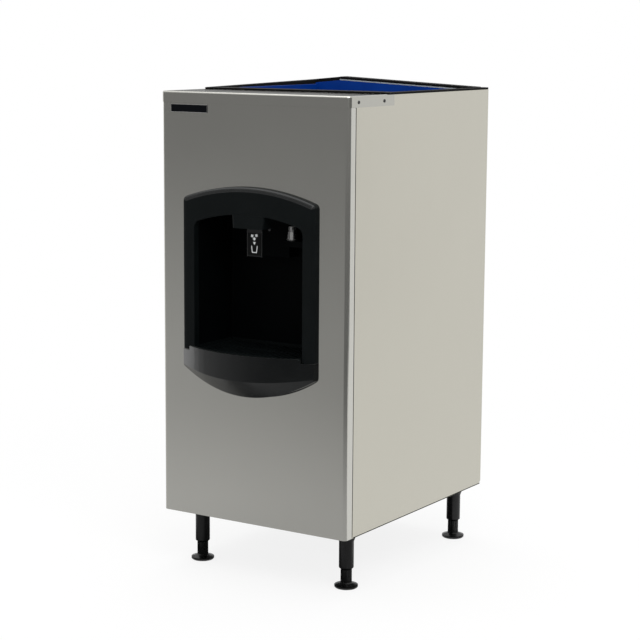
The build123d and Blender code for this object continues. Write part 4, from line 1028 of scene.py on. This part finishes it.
def boardMaterial(name, onGround):
    look = boards
    material, tree, shader = newMaterial(name)
    glow = tree.nodes.new("ShaderNodeEmission")
    place3d = objectCoords(tree)
    separate = tree.nodes.new("ShaderNodeSeparateXYZ")
    tree.links.new(place3d, separate.inputs["Vector"])
    low = spread(tree, separate.outputs["X"], look["leftShade"], look["middleShade"], look["leftX"],
                 look["middleX"])
    if onGround:
        near = spread(tree, fromMiddle(tree, place3d), look["nearShade"], 0.0, look["nearRadius"],
                      look["farRadius"])
        shade = twoWayMath(tree, "ADD", low, near)
    else:
        # fades to one shade at the top of the board
        climb = tree.nodes.new("ShaderNodeMapRange")
        climb.inputs["From Min"].default_value = 0.0
        climb.inputs["From Max"].default_value = look["fadeHeight"]
        tree.links.new(separate.outputs["Z"], climb.inputs["Value"])
        tree.links.new(low, climb.inputs["To Min"])
        climb.inputs["To Max"].default_value = look["highShade"]
        shade = climb.outputs["Result"]
    tree.links.new(shade, glow.inputs["Strength"])
    tree.links.new(glow.outputs["Emission"], tree.nodes["Material Output"].inputs["Surface"])
    return material


def onlyMirrored(board, material):
    settle(board)
    paint(board, material)
    board.visible_camera = False
    board.visible_diffuse = False
    board.visible_shadow = False
    board.visible_transmission = False
    board.visible_volume_scatter = False


def flatBoard(name, middle, size, turn, shade):
    clearSelection()
    bpy.ops.mesh.primitive_plane_add(size=1, location=middle, rotation=turn)
    board = bpy.context.view_layer.objects.active
    board.name = name
    board.scale = (*size, 1)
    onlyMirrored(board, plainBoard(name + "Shade", shade))


def keepSector(board, start, end):
    # the faces outside the sector go
    pickFaces(board, lambda face: not start < math.degrees(math.atan2(face.center.x, -face.center.y)) < end)
    bpy.ops.mesh.delete(type="FACE")
    leaveEdit()


def stageBoards():
    look = boards
    clearSelection()
    bpy.ops.mesh.primitive_cylinder_add(vertices=look["steps"], radius=look["radius"], depth=look["height"],
                                        end_fill_type="NOTHING", location=(0, 0, look["height"] / 2))
    wall = settle(bpy.context.view_layer.objects.active)
    wall.name = "boardWall"
    keepSector(wall, look["fromAzimuth"], look["toAzimuth"])
    onlyMirrored(wall, boardMaterial("wallShade", False))
    clearSelection()
    bpy.ops.mesh.primitive_circle_add(vertices=look["steps"], radius=look["radius"], fill_type="TRIFAN",
                                      location=(0, 0, look["mirrorHeight"]))
    ground = settle(bpy.context.view_layer.objects.active)
    ground.name = "boardGround"
    keepSector(ground, look["fromAzimuth"], look["groundToAzimuth"])
    onlyMirrored(ground, boardMaterial("groundShade", True))
    flatBoard("boardUnder", look["underMiddle"], look["underSize"], (0, 0, 0), look["underShade"])
    flatBoard("boardRear", look["rearMiddle"], look["rearSize"],
              (math.radians(90), 0, math.radians(look["rearAzimuth"])), look["rearShade"])


lampTarget = (0, 0, 0.7)
lamps = [
    {"name": "keyLamp", "size": 2.6, "power": 90, "from": (2.6, -2.2, 3.4)},
    {"name": "topLamp", "size": 3.0, "power": 70, "from": (-0.6, 0.6, 4.2)},
]


def stageLamps():
    for lamp in lamps:
        data = bpy.data.lights.new(lamp["name"], "AREA")
        data.shape = "SQUARE"
        data.size = lamp["size"]
        data.energy = lamp["power"]
        light = bpy.data.objects.new(lamp["name"], data)
        bpy.context.scene.collection.objects.link(light)
        light.location = lamp["from"]
        aim = Vector(lampTarget) - Vector(lamp["from"])
        light.rotation_euler = aim.to_track_quat("-Z", "Y").to_euler()


stageCamera()
stageWorld()
stageFloor()
stageBoards()
stageLamps()
bpy.context.scene.view_settings.view_transform = "Standard"
print("studio ready")
